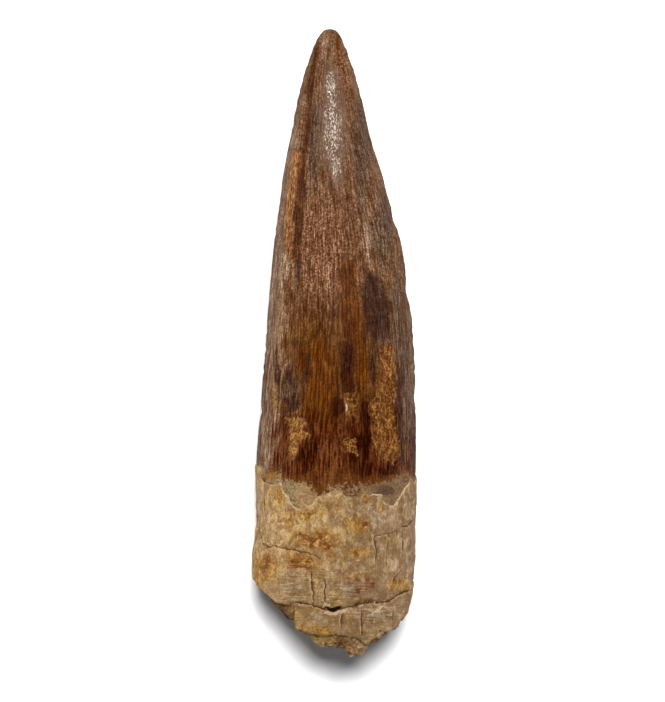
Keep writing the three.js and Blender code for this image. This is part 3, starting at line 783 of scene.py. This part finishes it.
def settle(tooth):
    """Moves the peg's points to their places on the tooth's skin and keeps its marks on the mesh."""
    skin = read_skin(tooth)
    find_places(skin)
    for mark in (mark_stains, mark_edges, mark_scars, mark_cracks, mark_lines):
        mark(skin)
    skin.marks["broken"] = skin.on_end * smooth(1 - skin.share, 0.0, 0.03)

    relief = flutes(skin) + nicks(skin) + lumps(skin) + scars(skin)
    moved = skin.section + skin.out * (relief * skin.round)[:, None]
    flat = skin.middle + moved * skin.share[:, None]
    y = np.where(skin.on_end, broken_face(skin), skin.y)
    co = np.column_stack([flat[:, 0], y, np.maximum(flat[:, 1], 0)])
    low, high = co.min(axis=0), co.max(axis=0)
    fit = np.minimum((HIGH - LOW) / (high - low), 1)
    co = (co - (low + high) / 2) * fit + (LOW + HIGH) / 2
    co[:, 2] -= co[:, 2].min()
    tooth.data.vertices.foreach_set("co", (co * MM).ravel())

    for name, values in skin.marks.items():
        kept = tooth.data.attributes.new(name, "FLOAT", "POINT")
        kept.data.foreach_set("value", values.astype(np.float32))
    grain = tooth.data.attributes.new("grain", "FLOAT_VECTOR", "POINT")
    grain.data.foreach_set("vector", skin.girdle.astype(np.float32).ravel())
    tooth.data.update()
    bpy.ops.object.select_all(action="DESELECT")
    tooth.select_set(True)
    bpy.context.view_layer.objects.active = tooth
    bpy.ops.object.shade_smooth()


# ---- Shader maths ----
class Value:
    """A number that varies over the surface. Its operators add the Math nodes they stand for."""

    def __init__(self, finish, socket):
        self.finish = finish
        self.socket = socket

    def __add__(self, other):
        return self.finish.math("ADD", self, other)

    def __radd__(self, other):
        return self.finish.math("ADD", other, self)

    def __sub__(self, other):
        return self.finish.math("SUBTRACT", self, other)

    def __rsub__(self, other):
        return self.finish.math("SUBTRACT", other, self)

    def __mul__(self, other):
        return self.finish.math("MULTIPLY", self, other)

    def __rmul__(self, other):
        return self.finish.math("MULTIPLY", other, self)

    def __abs__(self):
        return self.finish.math("ABSOLUTE", self)

    def at_least(self, other):
        return self.finish.math("MAXIMUM", self, other)

    def past(self, start, end):
        """0 up to start and 1 from end, with a soft slope between them; end may be the lower one."""
        sockets = {"Value": self, "From Min": start, "From Max": end, "To Min": 0.0, "To Max": 1.0}
        return self.finish.value("ShaderNodeMapRange", {"interpolation_type": "SMOOTHSTEP"}, sockets)


# Sockets of a Mix node that mixes colours.
MIX_MASK, MIX_UNDER, MIX_OVER, MIX_RESULT = 0, 6, 7, 2


class Finish:
    """A material, or the world, in the making."""

    def __init__(self, made):
        made.use_nodes = True
        self.made = made
        self.tree = made.node_tree
        self.tree.nodes.clear()

    def node(self, kind, settings=None, sockets=None, result=0):
        """Adds a node: its settings first, then what its sockets hold or are linked to."""
        made = self.tree.nodes.new(kind)
        for name, value in (settings or {}).items():
            setattr(made, name, value)
        for name, value in (sockets or {}).items():
            held = value.socket if isinstance(value, Value) else value
            if isinstance(held, bpy.types.NodeSocket):
                self.tree.links.new(held, made.inputs[name])
            else:
                made.inputs[name].default_value = held
        return made.outputs[result] if made.outputs else None

    def value(self, kind, settings=None, sockets=None, result=0):
        """Adds a node whose result is a number to reckon with."""
        return Value(self, self.node(kind, settings, sockets, result))

    def math(self, operation, first, second=0.0):
        """Adds a Math node."""
        return self.value("ShaderNodeMath", {"operation": operation}, {0: first, 1: second})

    def mark(self, name):
        """A mark kept on the mesh."""
        return self.value("ShaderNodeAttribute", {"attribute_name": name}, result="Fac")

    def grain(self):
        """Place along the grain: round the root's girth, and along the tooth."""
        return self.node("ShaderNodeAttribute", {"attribute_name": "grain"}, result="Vector")

    def place(self):
        """Place on the tooth in millimetres."""
        metres = self.node("ShaderNodeTexCoord", result="Object")
        return self.node("ShaderNodeVectorMath", {"operation": "SCALE"}, {0: metres, "Scale": 1 / MM})

    def part(self, vector, axis):
        """One number of a vector."""
        return self.value("ShaderNodeSeparateXYZ", None, {0: vector}, result=axis)

    def spread(self, vector, size, seed):
        """The vector in lumps of one size, or one size for each axis, each seed elsewhere in the noise."""
        sizes = size if isinstance(size, tuple) else (size,) * 3
        sockets = {0: vector, 1: [1 / each for each in sizes], 2: (seed * 3.7, seed * 1.9, seed * 5.3)}
        return self.node("ShaderNodeVectorMath", {"operation": "MULTIPLY_ADD"}, sockets)

    def noise(self, vector, size, seed, detail=2.0, roughness=0.5, twist=0.0):
        """Cloudy noise around 0.5."""
        sockets = {
            "Vector": self.spread(vector, size, seed),
            "Scale": 1.0,
            "Detail": detail,
            "Roughness": roughness,
            "Distortion": twist,
        }
        return self.value("ShaderNodeTexNoise", None, sockets)

    def seams(self, vector, size, seed):
        """How far a point is from the seams of a mosaic, 0 on them."""
        sockets = {"Vector": self.spread(vector, size, seed), "Scale": 1.0}
        return self.value("ShaderNodeTexVoronoi", {"feature": "DISTANCE_TO_EDGE"}, sockets)

    def mix(self, mask, under, over, blend_type="MIX"):
        """One colour laid over another where the mask is 1."""
        settings = {"data_type": "RGBA", "blend_type": blend_type, "clamp_factor": True}
        sockets = {MIX_MASK: mask, MIX_UNDER: under, MIX_OVER: over}
        return self.node("ShaderNodeMix", settings, sockets, MIX_RESULT)


# ---- Tones and looks ----
STUDIO_LIGHT = 1.35  # about what a white surface that faces up sends back

# Factors for red, green and blue of the darkest and the lightest grains of the tooth.
DEEPER = (0.5, 0.34, 0.16)
PALER = (1.7, 2.0, 2.4)
LOW_SHADE = (0.72, 0.74, 0.78)  # of the crust near the broken end


def tone(red, green, blue):
    """The colour of a surface that looks like this sRGB tone in the studio light."""
    shares = [c / 255 for c in (red, green, blue)]
    linear = [c / 12.92 if c <= 0.04 else ((c + 0.055) / 1.055) ** 2.4 for c in shares]
    return (*[min(c / STUDIO_LIGHT, 1) for c in linear], 1.0)


def blend(mask, under, over):
    """A number between two numbers, by the mask."""
    return under + mask * (over - under)


def middled(noise):
    """Noise around 0 instead of 0.5."""
    return noise - 0.5


class Look:
    """The looks of a finish while it is built up: colour, roughness, height and coat."""

    def __init__(self, f, colour):
        self.f = f
        self.colour = colour
        self.roughness = 0.5
        self.height = 0.0
        self.coat = 0.0

    def paint(self, mask, colour):
        """Paints a colour on where the mask is 1."""
        self.colour = self.f.mix(mask, self.colour, colour)

    def tint(self, mask, factor):
        """Multiplies red, green and blue by a factor each where the mask is 1."""
        self.colour = self.f.mix(mask, self.colour, (*factor, 1.0), "MULTIPLY")

    def vary(self, noise, amount, reach=0.15):
        """Makes the colour deeper where the noise is low and paler where it is high."""
        self.tint(noise.past(0.5, 0.5 - reach) * amount, DEEPER)
        self.tint(noise.past(0.5, 0.5 + reach) * amount, PALER)

    def lay(self, mask, over):
        """Lays another look over this one where the mask is 1. The coat stays."""
        self.paint(mask, over.colour)
        self.roughness = blend(mask, self.roughness, over.roughness)
        self.height = blend(mask, self.height, over.height)


# ---- Finishes of the tooth ----
# Each takes the finish f, and at: the place, its x and y, the grain, and noises shared by the edges.
RIBS_ROUND = 118  # fine ribs round the crown


def enamel_pattern(f, at):
    """The enamel's noises, its upper and lower zones, and the masks that more than one step reads."""
    p = SimpleNamespace()
    p.streaks = f.noise(at.grain, (0.75, 0.75, 8.0), 1, detail=3.0, roughness=0.6)
    p.fibres = f.noise(at.grain, (0.32, 0.32, 3.0), 5, detail=2.0, roughness=0.6)
    p.specks = f.noise(at.place, (0.36, 0.44, 0.36), 4, detail=1.5, roughness=0.6)
    p.mottles = f.noise(at.place, (1.1, 2.0, 1.1), 3, detail=5.0, roughness=0.65)
    p.clouds = f.noise(at.place, (2.6, 4.5, 2.6), 6, detail=3.0)
    angle = f.math("ARCTAN2", f.part(at.grain, "Y"), f.part(at.grain, "X"))
    p.ribs = f.math("SINE", angle * RIBS_ROUND + middled(p.streaks) * 6.0 + middled(p.mottles) * 5.0)
    p.wander = middled(p.mottles) * 0.9 + middled(p.streaks) * 0.9
    p.upper = (at.y + p.wander * 12.0).past(1, 16)
    p.foot = (at.y + p.wander * 5.0).past(-12, -17)
    p.gloss = (f.mark("gloss") + middled(p.mottles) * 0.7 + middled(p.streaks) * 0.4).past(0.05, 1.05)
    p.gold = (f.mark("gold") + p.wander).past(0.2, 0.7)
    p.rusty = (f.mark("rusty") + p.wander + middled(p.specks) * 0.6).past(0.25, 0.75)
    return p


def stain_enamel(f, look, p):
    """Stains from rusty brown to nearly black, and the dark groove. The groove's dark colour, the paler left
    margin and the darker right side are partly painted shade and light.
    """
    tan_and_painted_light = (f.mark("tan_and_painted_light") + p.wander * 0.6).past(0.15, 0.85)
    slate_and_painted_shade = (f.mark("slate_and_painted_shade") + p.wander).past(0.2, 0.8)
    plum = (f.mark("plum") + middled(p.mottles) * 1.3 + middled(p.fibres) * 0.8).past(0.3, 0.75)
    dark = (f.mark("dark") + p.wander * 0.8 + middled(p.fibres) * 0.6).past(0.25, 0.65)
    groove = (f.mark("groove") + middled(p.fibres) * 0.8).past(0.1, 0.7)
    look.paint(p.rusty * 0.85, tone(118, 75, 46))
    look.paint(p.gold * 0.95, tone(99, 50, 8))
    # Partly painted light: pale brown laid along the crown's left margin.
    look.paint(tan_and_painted_light * 0.9, tone(132, 98, 70))
    # Partly painted shade: dark grey-brown laid on the crown's right side.
    look.paint(slate_and_painted_shade * 0.95, tone(92, 65, 45))
    look.paint(plum * 0.9, tone(58, 30, 16))
    look.paint(dark * 0.9, tone(50, 14, 2))
    # Partly dark stain, partly painted shade: a dark brown laid along the groove.
    look.paint(groove * 0.95, tone(84, 44, 16))


def grain_enamel(look, p):
    """Ribs, clouds, streaks, fibres and specks."""
    ribbed = p.gold * 0.8 + p.foot * 0.3 + 0.1
    look.tint(p.ribs.past(-0.2, -0.9) * ribbed, DEEPER)
    look.vary(p.clouds, 0.2)
    look.vary(p.mottles, 0.3)
    look.vary(p.streaks, 0.4)
    look.vary(p.fibres, p.foot * 0.25 + (0.8 - p.gold * 0.25), reach=0.1)
    look.vary(p.specks, 0.45 + p.upper * 0.25 + p.rusty * 0.2 - p.gold * 0.1, reach=0.1)
    pale_fibres = p.fibres.past(0.54, 0.64) * p.foot
    look.paint(pale_fibres * 0.22, tone(130, 80, 40))


def shine_enamel(f, at, look, p):
    """A painted grey sheen towards the tip, and painted near-white glints in its middle, which are also
    coated.
    """
    # Painted sheen: a grey brown laid into the colour where the enamel is shiniest.
    look.paint(p.gloss.past(0.0, 0.6) * 0.6, tone(122, 96, 78))
    coat_and_painted_glints = f.noise(at.grain, (0.3, 0.3, 0.5), 7, detail=1.0) + p.gloss.past(0.5, 1.0) * 0.14
    look.coat = coat_and_painted_glints.past(0.63, 0.76) * p.gloss.past(0.2, 0.8)
    # Painted glints: near white laid into the colour on the coated specks.
    look.paint(look.coat * 0.7, tone(208, 186, 162))


def wear_crest(f, at, look, p):
    """The crest on the left of the upper face: pale, golden further down, with a torn dark line."""
    golden = at.y.past(-8, -10)
    worn = (f.mark("crest") + middled(p.fibres) * 1.2).past(0.3, 0.8)
    worn = worn * p.specks.past(0.38, 0.6) * at.y.past(-15, -12.5)
    look.paint(worn * 0.8, f.mix(golden, tone(158, 118, 82), tone(168, 118, 58)))
    torn = (f.mark("crest") + middled(p.mottles) * 1.4 + middled(p.specks) * 0.8).past(0.72, 0.92)
    look.paint(torn * at.y.past(1, -2) * (1 - golden) * 0.9, tone(66, 24, 8))


def crown_enamel(f, at):
    """Brown enamel with streaks, bands, stains and speckles."""
    p = enamel_pattern(f, at)
    look = Look(f, f.mix(p.upper, tone(98, 57, 22), tone(115, 75, 46)))
    look.paint(p.foot, tone(88, 42, 15))
    stain_enamel(f, look, p)
    grain_enamel(look, p)
    shine_enamel(f, at, look, p)
    wear_crest(f, at, look, p)
    look.roughness = blend(p.gloss, p.upper * 0.34 + 0.26, 0.5)
    height = middled(p.fibres) * 0.04 + middled(p.streaks) * 0.05 + p.ribs * 0.005
    look.height = height + middled(p.specks) * (0.05 + p.upper * 0.06) + middled(p.mottles) * 0.06
    return look


def worn_dentine(f, at):
    """Golden granular dentine under the spalled enamel."""
    grit = f.noise(at.place, (0.32, 0.42, 0.32), 11, detail=2.0, roughness=0.6)
    patches = f.noise(at.place, (1.1, 2.2, 1.1), 12, detail=4.0, roughness=0.65)
    strands = f.noise(at.grain, (0.3, 0.3, 1.4), 13, detail=3.0, twist=0.6)
    look = Look(f, f.mix(at.y.past(-11, -7), tone(112, 64, 20), tone(126, 76, 32)))
    look.paint(at.left, tone(152, 102, 50))
    look.vary(patches, 0.85, reach=0.11)
    look.vary(strands, 0.6, reach=0.12)
    look.vary(grit, 0.8, reach=0.1)
    crumbs = (grit + middled(patches) * 0.9).past(0.6, 0.67)
    look.paint(crumbs * 0.65, tone(186, 136, 78))
    look.roughness = 0.34 + grit * 0.2
    look.height = middled(grit) * 0.2 + middled(strands) * 0.16 + middled(patches) * 0.4
    return look


def crust_pattern(f, at):
    """The crust's noises, and how low a point lies on it."""
    p = SimpleNamespace()
    p.wide = f.noise(at.place, 4.2, 21, detail=4.0, roughness=0.55)
    p.middling = f.noise(at.place, (1.1, 1.4, 1.1), 22, detail=3.0, roughness=0.55, twist=0.5)
    p.blots = f.noise(at.place, (2.2, 2.3, 2.2), 26, detail=5.0, roughness=0.6, twist=0.6)
    p.fine = f.noise(at.place, (0.4, 0.48, 0.4), 23, detail=2.0, roughness=0.65)
    p.strands = f.noise(at.grain, (0.32, 0.32, 3.0), 24, detail=3.0)
    p.growth = f.noise(at.place, (2.4, 0.3, 2.4), 25, detail=2.0)
    p.cells = f.seams(at.place, (1.15, 0.95, 1.15), 27)
    p.comb = (f.mark("comb") + middled(p.blots) * 0.8).past(0.2, 0.7)
    p.web = (p.cells + middled(p.middling) * 0.2).past(0.24, 0.05) * p.comb
    p.low = at.y.past(-45, -54)
    return p


def stain_crust(f, at, look, p):
    """Shade at the broken end, ochre, ash, a rusty honeycomb and torn rust."""
    look.tint(p.low * blend(at.right, 0.9, 0.5), LOW_SHADE)
    look.paint(p.wide.past(0.42, 0.62) * 0.45, tone(166, 134, 100))
    ochre = (f.mark("ochre") + middled(p.blots) * 2.2 + middled(p.middling)).past(0.05, 0.75)
    look.paint(ochre * 0.85, tone(164, 116, 46))
    ash = (f.mark("ash") * 0.9 + middled(p.middling) * 1.4).past(0.2, 0.9)
    look.paint(ash * 0.75, tone(150, 124, 96))
    look.paint(p.comb * 0.6, tone(176, 124, 62))
    look.paint(p.web * 0.9, tone(124, 66, 18))
    rust = (f.mark("rust") + middled(p.fine) * 0.8 + middled(p.blots) * 1.6).past(0.15, 0.65)
    torn = (p.growth + middled(p.middling) * 0.9).past(0.56, 0.46)
    look.paint(rust * blend(torn, 0.35, 0.95), f.mix(p.low, tone(128, 70, 26), tone(100, 56, 36)))
    grainy = ochre * (p.fine + middled(p.middling) * 0.4).past(0.48, 0.38)
    look.paint(grainy * 0.5, tone(122, 76, 30))


def weather_crust(f, at, look, p):
    """Grain, calmer near the broken end, then cream and umber clouds, the cream darker on the right side by
    painted shade, veins and pits.
    """
    look.vary(p.blots, 0.4 - p.low * 0.15, reach=0.12)
    look.vary(p.middling, 0.27 - p.low * 0.12, reach=0.1)
    look.vary(p.strands, 0.2 - p.low * 0.15)
    look.vary(p.growth, p.low * 0.22)
    look.vary(p.fine, 0.3 - p.low * 0.06, reach=0.12)
    cream = (p.blots + middled(p.middling) * 0.6).past(0.56, 0.68) * (1 - p.low)
    # Painted shade: the cream is darker on the right side.
    look.paint(cream * 0.5, f.mix(at.right, tone(198, 168, 120), tone(176, 150, 112)))
    umber = (p.wide + middled(p.blots) * 0.8).past(0.44, 0.34)
    look.paint(umber * 0.5, tone(142, 104, 62))
    veins = abs(middled(p.blots) + middled(p.fine) * 0.04).past(0.014, 0.003)
    look.paint(veins * p.wide.past(0.46, 0.54) * 0.55, tone(112, 74, 42))
    pits = (p.fine + middled(p.blots) * 0.5).past(0.34, 0.28)
    look.paint(pits * 0.5, tone(118, 78, 44))


def line_crust(f, look, p):
    """Growth lines, the finest cracks, pale marks and flakes."""
    lined = f.mark("lined")
    look.tint(lined * p.growth.past(0.5, 0.4) * 0.5, DEEPER)
    look.tint(lined * p.growth.past(0.54, 0.64) * 0.25, PALER)
    cracked = (p.cells + middled(p.blots) * 0.3).past(0.03, 0.0) * p.wide.past(0.55, 0.45)
    look.tint(cracked * 0.4, DEEPER)
    pale = (f.mark("pale") * 1.1 + middled(p.fine) * 1.3 + middled(p.middling) * 0.6).past(0.35, 0.75)
    look.paint(pale * 0.75, tone(210, 180, 142))
    flakes = (p.fine + middled(p.middling) * 0.6).past(0.72, 0.78)
    look.paint(flakes * 0.6, tone(212, 186, 144))


def lip_crust(f, at, look, p):
    """A pale lip on the crust's edge, at the two scallops and here and there: partly pale crust, partly a
    painted highlight along the edge.
    """
    crust = f.mark("crust") + middled(p.middling) * 0.35
    lip = crust.past(-0.05, 0.08) * crust.past(0.36, 0.14) * (p.fine + 0.1).past(0.44, 0.56)
    left_scallop = at.x.past(-6.4, -7.6) * at.x.past(-13, -11)
    right_scallop = at.x.past(6, 8)
    elsewhere = p.blots.past(0.54, 0.58) * 0.6
    lipped = left_scallop.at_least(right_scallop).at_least(elsewhere)
    # Partly painted highlight: a pale colour laid along the crust's lip.
    look.paint(lip * lipped * 0.85, tone(218, 194, 150))


def root_crust(f, at):
    """Cream crust with ochre, rust and grey stains, darker on its right side by painted shade."""
    p = crust_pattern(f, at)
    # Painted shade: the base colour is darker on the crust's right side, as if the light came from the left.
    look = Look(f, f.mix(at.right, tone(179, 142, 90), tone(140, 109, 72)))
    stain_crust(f, at, look, p)
    weather_crust(f, at, look, p)
    line_crust(f, look, p)
    lip_crust(f, at, look, p)
    look.roughness = 0.5 + p.fine * 0.2
    height = middled(p.middling) * 0.17 + middled(p.fine) * 0.09 + middled(p.strands) * 0.1
    look.height = height + f.mark("lined") * middled(p.growth) * 0.16 - p.web * 0.05
    return look


def bare_root(f, at):
    """Root between the enamel's foot and the crust."""
    patches = f.noise(at.place, (1.1, 0.9, 1.1), 31, detail=5.0, roughness=0.6, twist=1.0)
    fine = f.noise(at.place, 0.36, 32, detail=2.0)
    look = Look(f, f.mix(at.x.past(-7.2, -8.6), tone(164, 130, 88), tone(146, 120, 82)))
    look.paint(at.right, tone(128, 98, 66))
    look.vary(patches, 0.45, reach=0.16)
    flake = (f.mark("plum") + middled(patches) * 2.2 + middled(fine) * 0.8).past(0.4, 0.5)
    look.paint(flake * 0.85, tone(86, 60, 46))
    amber = (f.mark("ochre") + middled(patches) * 0.8).past(0.3, 0.6)
    look.paint(amber * 0.85, tone(152, 102, 42))
    look.vary(fine, 0.4)
    look.roughness = 0.5 + fine * 0.15
    look.height = middled(patches) * 0.34 + middled(fine) * 0.12
    return look


def broken_dentine(f, at):
    """Brown granular inside of the root, where it is broken."""
    wide = f.noise(at.place, 1.8, 41, detail=4.0, roughness=0.6)
    grit = f.noise(at.place, 0.6, 42, detail=4.0, roughness=0.65)
    look = Look(f, f.mix(wide.past(0.4, 0.6), tone(130, 94, 58), tone(176, 142, 98)))
    look.paint(at.x.past(-7, -9) * 0.8, tone(108, 70, 38))
    olive = (f.mark("ochre") + middled(wide)).past(0.2, 0.6)
    look.paint(olive * 0.85, tone(150, 120, 66))
    holes = wide.past(0.42, 0.3) * (1 - olive)
    look.paint(holes * 0.75, tone(100, 52, 28))
    look.vary(grit, 0.9)
    look.roughness = 0.65 + grit * 0.15
    look.height = middled(grit) * 0.7 + middled(wide) * 0.6
    return look


def crown_look(f, at):
    """The enamel, the dentine where it has spalled off, the worn ridge, a painted glint and the darker foot.
    """
    look = crown_enamel(f, at)
    spall = f.mark("spall")
    spalled = (spall + at.edge * 0.4 + at.speckle * at.left * 2.0).past(-0.02, at.left * 0.5 + 0.1)
    look.lay(spalled, worn_dentine(f, at))

    worn = Look(f, tone(146, 94, 50))
    worn.vary(at.speckle + 0.5, 0.9, reach=0.12)
    worn.vary(f.noise(at.grain, (0.3, 0.3, 0.9), 53, detail=2.0), 0.9, reach=0.1)
    ridge = (f.mark("ridge") + at.edge * 0.5).past(-0.2, 0.25)
    look.paint(ridge * 0.9, worn.colour)

    rim = spall + at.edge * 0.5
    bevel = rim.past(-0.3, -0.05) * rim.past(0.12, 0.0) * (at.speckle + 0.5).past(0.5, 0.64)
    look.paint(bevel * 0.5 - at.left * 0.4, tone(190, 146, 100))
    # Painted glint: a near-white highlight laid into the colour where the pale marks fall on the crown.
    glint = (f.mark("pale") + at.edge * 1.2).past(0.4, 0.7)
    look.paint(glint * 0.8, tone(228, 212, 188))
    look.paint(at.foot.past(1.6, 0.2) * 0.5, tone(116, 70, 28))
    return look


def lay_root(f, at, look):
    """Lays the bare root, its crust with two chips, and the broken inside over the crown's look."""
    look.lay(at.foot.past(0.3, -0.3), bare_root(f, at))
    look.lay((f.mark("crust") + at.edge * 0.5).past(0.0, 0.15), root_crust(f, at))

    chip = f.mark("chip") + at.edge * 0.4
    ring = chip.past(-0.25, 0.1) * (at.edge + at.speckle + 0.5).past(0.4, 0.54)
    look.paint(ring, tone(84, 44, 24))
    inner = Look(f, tone(134, 96, 64))
    inner.vary(at.edge + 0.5, 1.0, reach=0.12)
    look.paint(chip.past(0.1, 0.3), inner.colour)

    bared = f.mark("bared")
    gone = (bared + at.edge * 0.5).past(0.0, 0.15)
    look.lay(gone.at_least(f.mark("broken")), broken_dentine(f, at))
    under = bared + at.edge * 0.3
    ledge = under.past(-0.1, 0.05) * under.past(0.5, 0.2) * (at.speckle + 0.5).past(0.36, 0.56)
    look.paint(ledge * 0.7, tone(78, 46, 24))


def draw_cracks(f, at, look):
    """Dark broken lines with a pale edge below and a reddish one above, and the gape, painted near black as
    shade in its hole.
    """
    side = f.mark("crack_side") + at.edge * 1.2
    below = side.past(1.2, 1.8) * side.past(4.5, 3.0) * (at.speckle + 0.5).past(0.45, 0.55)
    above = side.past(-0.9, -1.5) * side.past(-5.0, -2.5) * (at.speckle + 0.5).past(0.56, 0.44)
    gaps = (at.edge + at.speckle * 0.7).past(-0.24, -0.08)
    line = abs(side).past(1.3, 0.6) * f.mark("crack_near").past(3.5, 2.5) * gaps
    gape = (f.mark("gape") + at.edge * 0.3).past(-0.2, 0.0)
    look.paint(below * 0.5, tone(206, 174, 138))
    look.paint(above * 0.7, tone(108, 60, 36))
    look.paint(line * 0.85, tone(66, 34, 18))
    # Partly the hole's dark colour, partly painted shade: near black laid into the gape.
    look.paint(gape * 0.95, tone(26, 14, 8))
    look.height = look.height - line * 0.1


def tooth_finish():
    """The whole tooth's material: each look laid over the last where the marks say."""
    f = Finish(bpy.data.materials.new("fossil tooth"))
    at = SimpleNamespace(place=f.place(), grain=f.grain())
    at.x, at.y = f.part(at.place, "X"), f.part(at.place, "Y")
    # The right-side mask also darkens the root's crust as painted shade.
    at.left, at.right = at.x.past(-2, -6), at.x.past(-4, 6)
    at.edge = middled(f.noise(at.place, 0.5, 51, detail=3.0))
    at.speckle = middled(f.noise(at.grain, (0.6, 0.6, 1.6), 52, detail=3.0, roughness=0.7))
    at.foot = f.mark("foot") + at.speckle * 2.4 + at.edge * 2.2

    look = crown_look(f, at)
    lay_root(f, at, look)
    draw_cracks(f, at, look)
    relief = {"Strength": 1.0, "Distance": MM, "Height": look.height}
    sockets = {
        "Base Color": look.colour,
        "Roughness": look.roughness,
        "IOR": 1.3,
        "Coat Weight": look.coat,
        "Coat Roughness": 0.25,
        "Normal": f.node("ShaderNodeBump", None, relief),
    }
    surface = f.node("ShaderNodeBsdfPrincipled", None, sockets)
    f.node("ShaderNodeOutputMaterial", None, {"Surface": surface})
    return f.made


# ---- Studio ----
FLOOR_SIZE = 6.0
FLOOR_WHITE = (0.92, 0.92, 0.92, 1.0)
# Lamps: (lean from the vertical, azimuth) in degrees, strength, and width in degrees.
TOP_LIGHT = ((17, 8), 3.6, 21)
FLOOR_LIGHT = ((17, 8), 2.75, 21)
LEFT_LIGHT = ((82, -90), 1.82, 30)
RIGHT_LIGHT = ((82, 90), 1.82, 30)
GLINT_LIGHT = ((40, 1), 0.7, 4)

# Glow of the surroundings as the tooth is lit by them, and as glossy surfaces mirror them.
COOL_WHITE = (0.8, 0.9, 1.0, 1.0)
RING_GLOW, OVERHEAD_GLOW = 0.19, 0.02
BOX_GLOW, LOW_GLOW, DIM_GLOW = 0.3, 0.12, 0.01
BOX_WAY = (38, 0)
BOX_EDGE, BOX_CORE = 24, 8  # degrees from its middle

PIXEL = 0.207  # millimetres across one pixel of the picture
PICTURE = (665, 702)
AIM = (-0.41, -1.97)  # the middle of the picture
FOCUS_HEIGHT = 16.0
LENS = 500.0
SENSOR = 36.0


def make_floor():
    """A wide pale floor."""
    bpy.ops.object.select_all(action="DESELECT")
    bpy.ops.mesh.primitive_plane_add(size=FLOOR_SIZE)
    floor = bpy.context.object
    floor.name = "studio_floor"
    floor.visible_glossy = False
    f = Finish(bpy.data.materials.new("pale floor"))
    sockets = {"Base Color": FLOOR_WHITE, "Roughness": 0.9}
    surface = f.node("ShaderNodeBsdfPrincipled", None, sockets)
    f.node("ShaderNodeOutputMaterial", None, {"Surface": surface})
    floor.data.materials.append(f.made)
    return floor


def towards(lean, azimuth):
    """The direction that leans from the vertical towards an azimuth: 0 is +Y, 90 is +X."""
    lean, azimuth = math.radians(lean), math.radians(azimuth)
    level = math.sin(lean)
    return Vector((level * math.sin(azimuth), level * math.cos(azimuth), math.cos(lean)))


def make_sun(name, way, strength, width):
    """A distant lamp that shines from its way, softer the wider it is."""
    lamp = bpy.data.lights.new(name, "SUN")
    lamp.energy = strength
    lamp.angle = math.radians(width)
    holder = bpy.data.objects.new(name, lamp)
    bpy.context.scene.collection.objects.link(holder)
    holder.rotation_mode = "QUATERNION"
    holder.rotation_quaternion = towards(*way).to_track_quat("Z", "Y")
    return holder


def link_to(lamp, piece):
    """Makes a lamp light one piece alone."""
    lit = bpy.data.collections.new("lit by the " + lamp.name)
    lit.objects.link(piece)
    lamp.light_linking.receiver_collection = lit


def make_lamps(tooth, floor):
    """A soft light above, more of it on the floor, low ones beside the tooth, and one that glints."""
    top = make_sun("top light", *TOP_LIGHT)
    spill = make_sun("floor light", *FLOOR_LIGHT)
    left = make_sun("left light", *LEFT_LIGHT)
    right = make_sun("right light", *RIGHT_LIGHT)
    for lamp, piece in ((spill, floor), (left, tooth), (right, tooth)):
        link_to(lamp, piece)
    for lamp in (top, spill, left, right):
        lamp.visible_glossy = False
    glint = make_sun("glint light", *GLINT_LIGHT)
    glint.visible_diffuse = False


def make_world():
    """A dim studio: dark overhead and pale round the sides. Glossy surfaces see a soft box past the tip."""
    world = bpy.data.worlds.new("studio")
    bpy.context.scene.world = world
    f = Finish(world)
    way = f.node("ShaderNodeTexCoord", result="Generated")
    ring = f.part(way, "Z").past(0.86, 0.7)
    low = f.part(way, "Z").past(0.3, -0.2)
    sockets = {0: way, 1: towards(*BOX_WAY)}
    facing = f.value("ShaderNodeVectorMath", {"operation": "DOT_PRODUCT"}, sockets, "Value")
    box = facing.past(math.cos(math.radians(BOX_EDGE)), math.cos(math.radians(BOX_CORE)))
    lighting = ring * RING_GLOW + OVERHEAD_GLOW
    mirrored = box * BOX_GLOW + low * LOW_GLOW + DIM_GLOW
    strength = blend(f.value("ShaderNodeLightPath", result="Is Glossy Ray"), lighting, mirrored)
    dim = f.node("ShaderNodeBackground", None, {"Color": COOL_WHITE, "Strength": strength})
    white = f.node("ShaderNodeBackground", None, {"Color": (1, 1, 1, 1), "Strength": 1.0})
    seen = f.node("ShaderNodeLightPath", result="Is Camera Ray")
    both = f.node("ShaderNodeMixShader", None, {0: seen, 1: dim, 2: white})
    f.node("ShaderNodeOutputWorld", None, {"Surface": both})


def make_camera():
    """Straight above, with a long lens, as far up as makes one pixel its size on the tooth."""
    lens = bpy.data.cameras.new("camera")
    lens.lens = LENS
    lens.sensor_width = SENSOR
    holder = bpy.data.objects.new("camera", lens)
    bpy.context.scene.collection.objects.link(holder)
    tall = PICTURE[1] * PIXEL
    holder.location = Vector((AIM[0], AIM[1], FOCUS_HEIGHT + LENS / SENSOR * tall)) * MM
    lens.clip_start, lens.clip_end = 0.1, 20.0
    bpy.context.scene.camera = holder


def make_studio(tooth):
    """Floor, lamps, surroundings and camera."""
    make_lamps(tooth, make_floor())
    make_world()
    make_camera()
    bpy.context.scene.view_settings.view_transform = "Standard"


tooth = model_peg()
settle(tooth)
tooth.data.materials.append(tooth_finish())
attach(tooth, "root")
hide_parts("tooth")
make_studio(tooth)
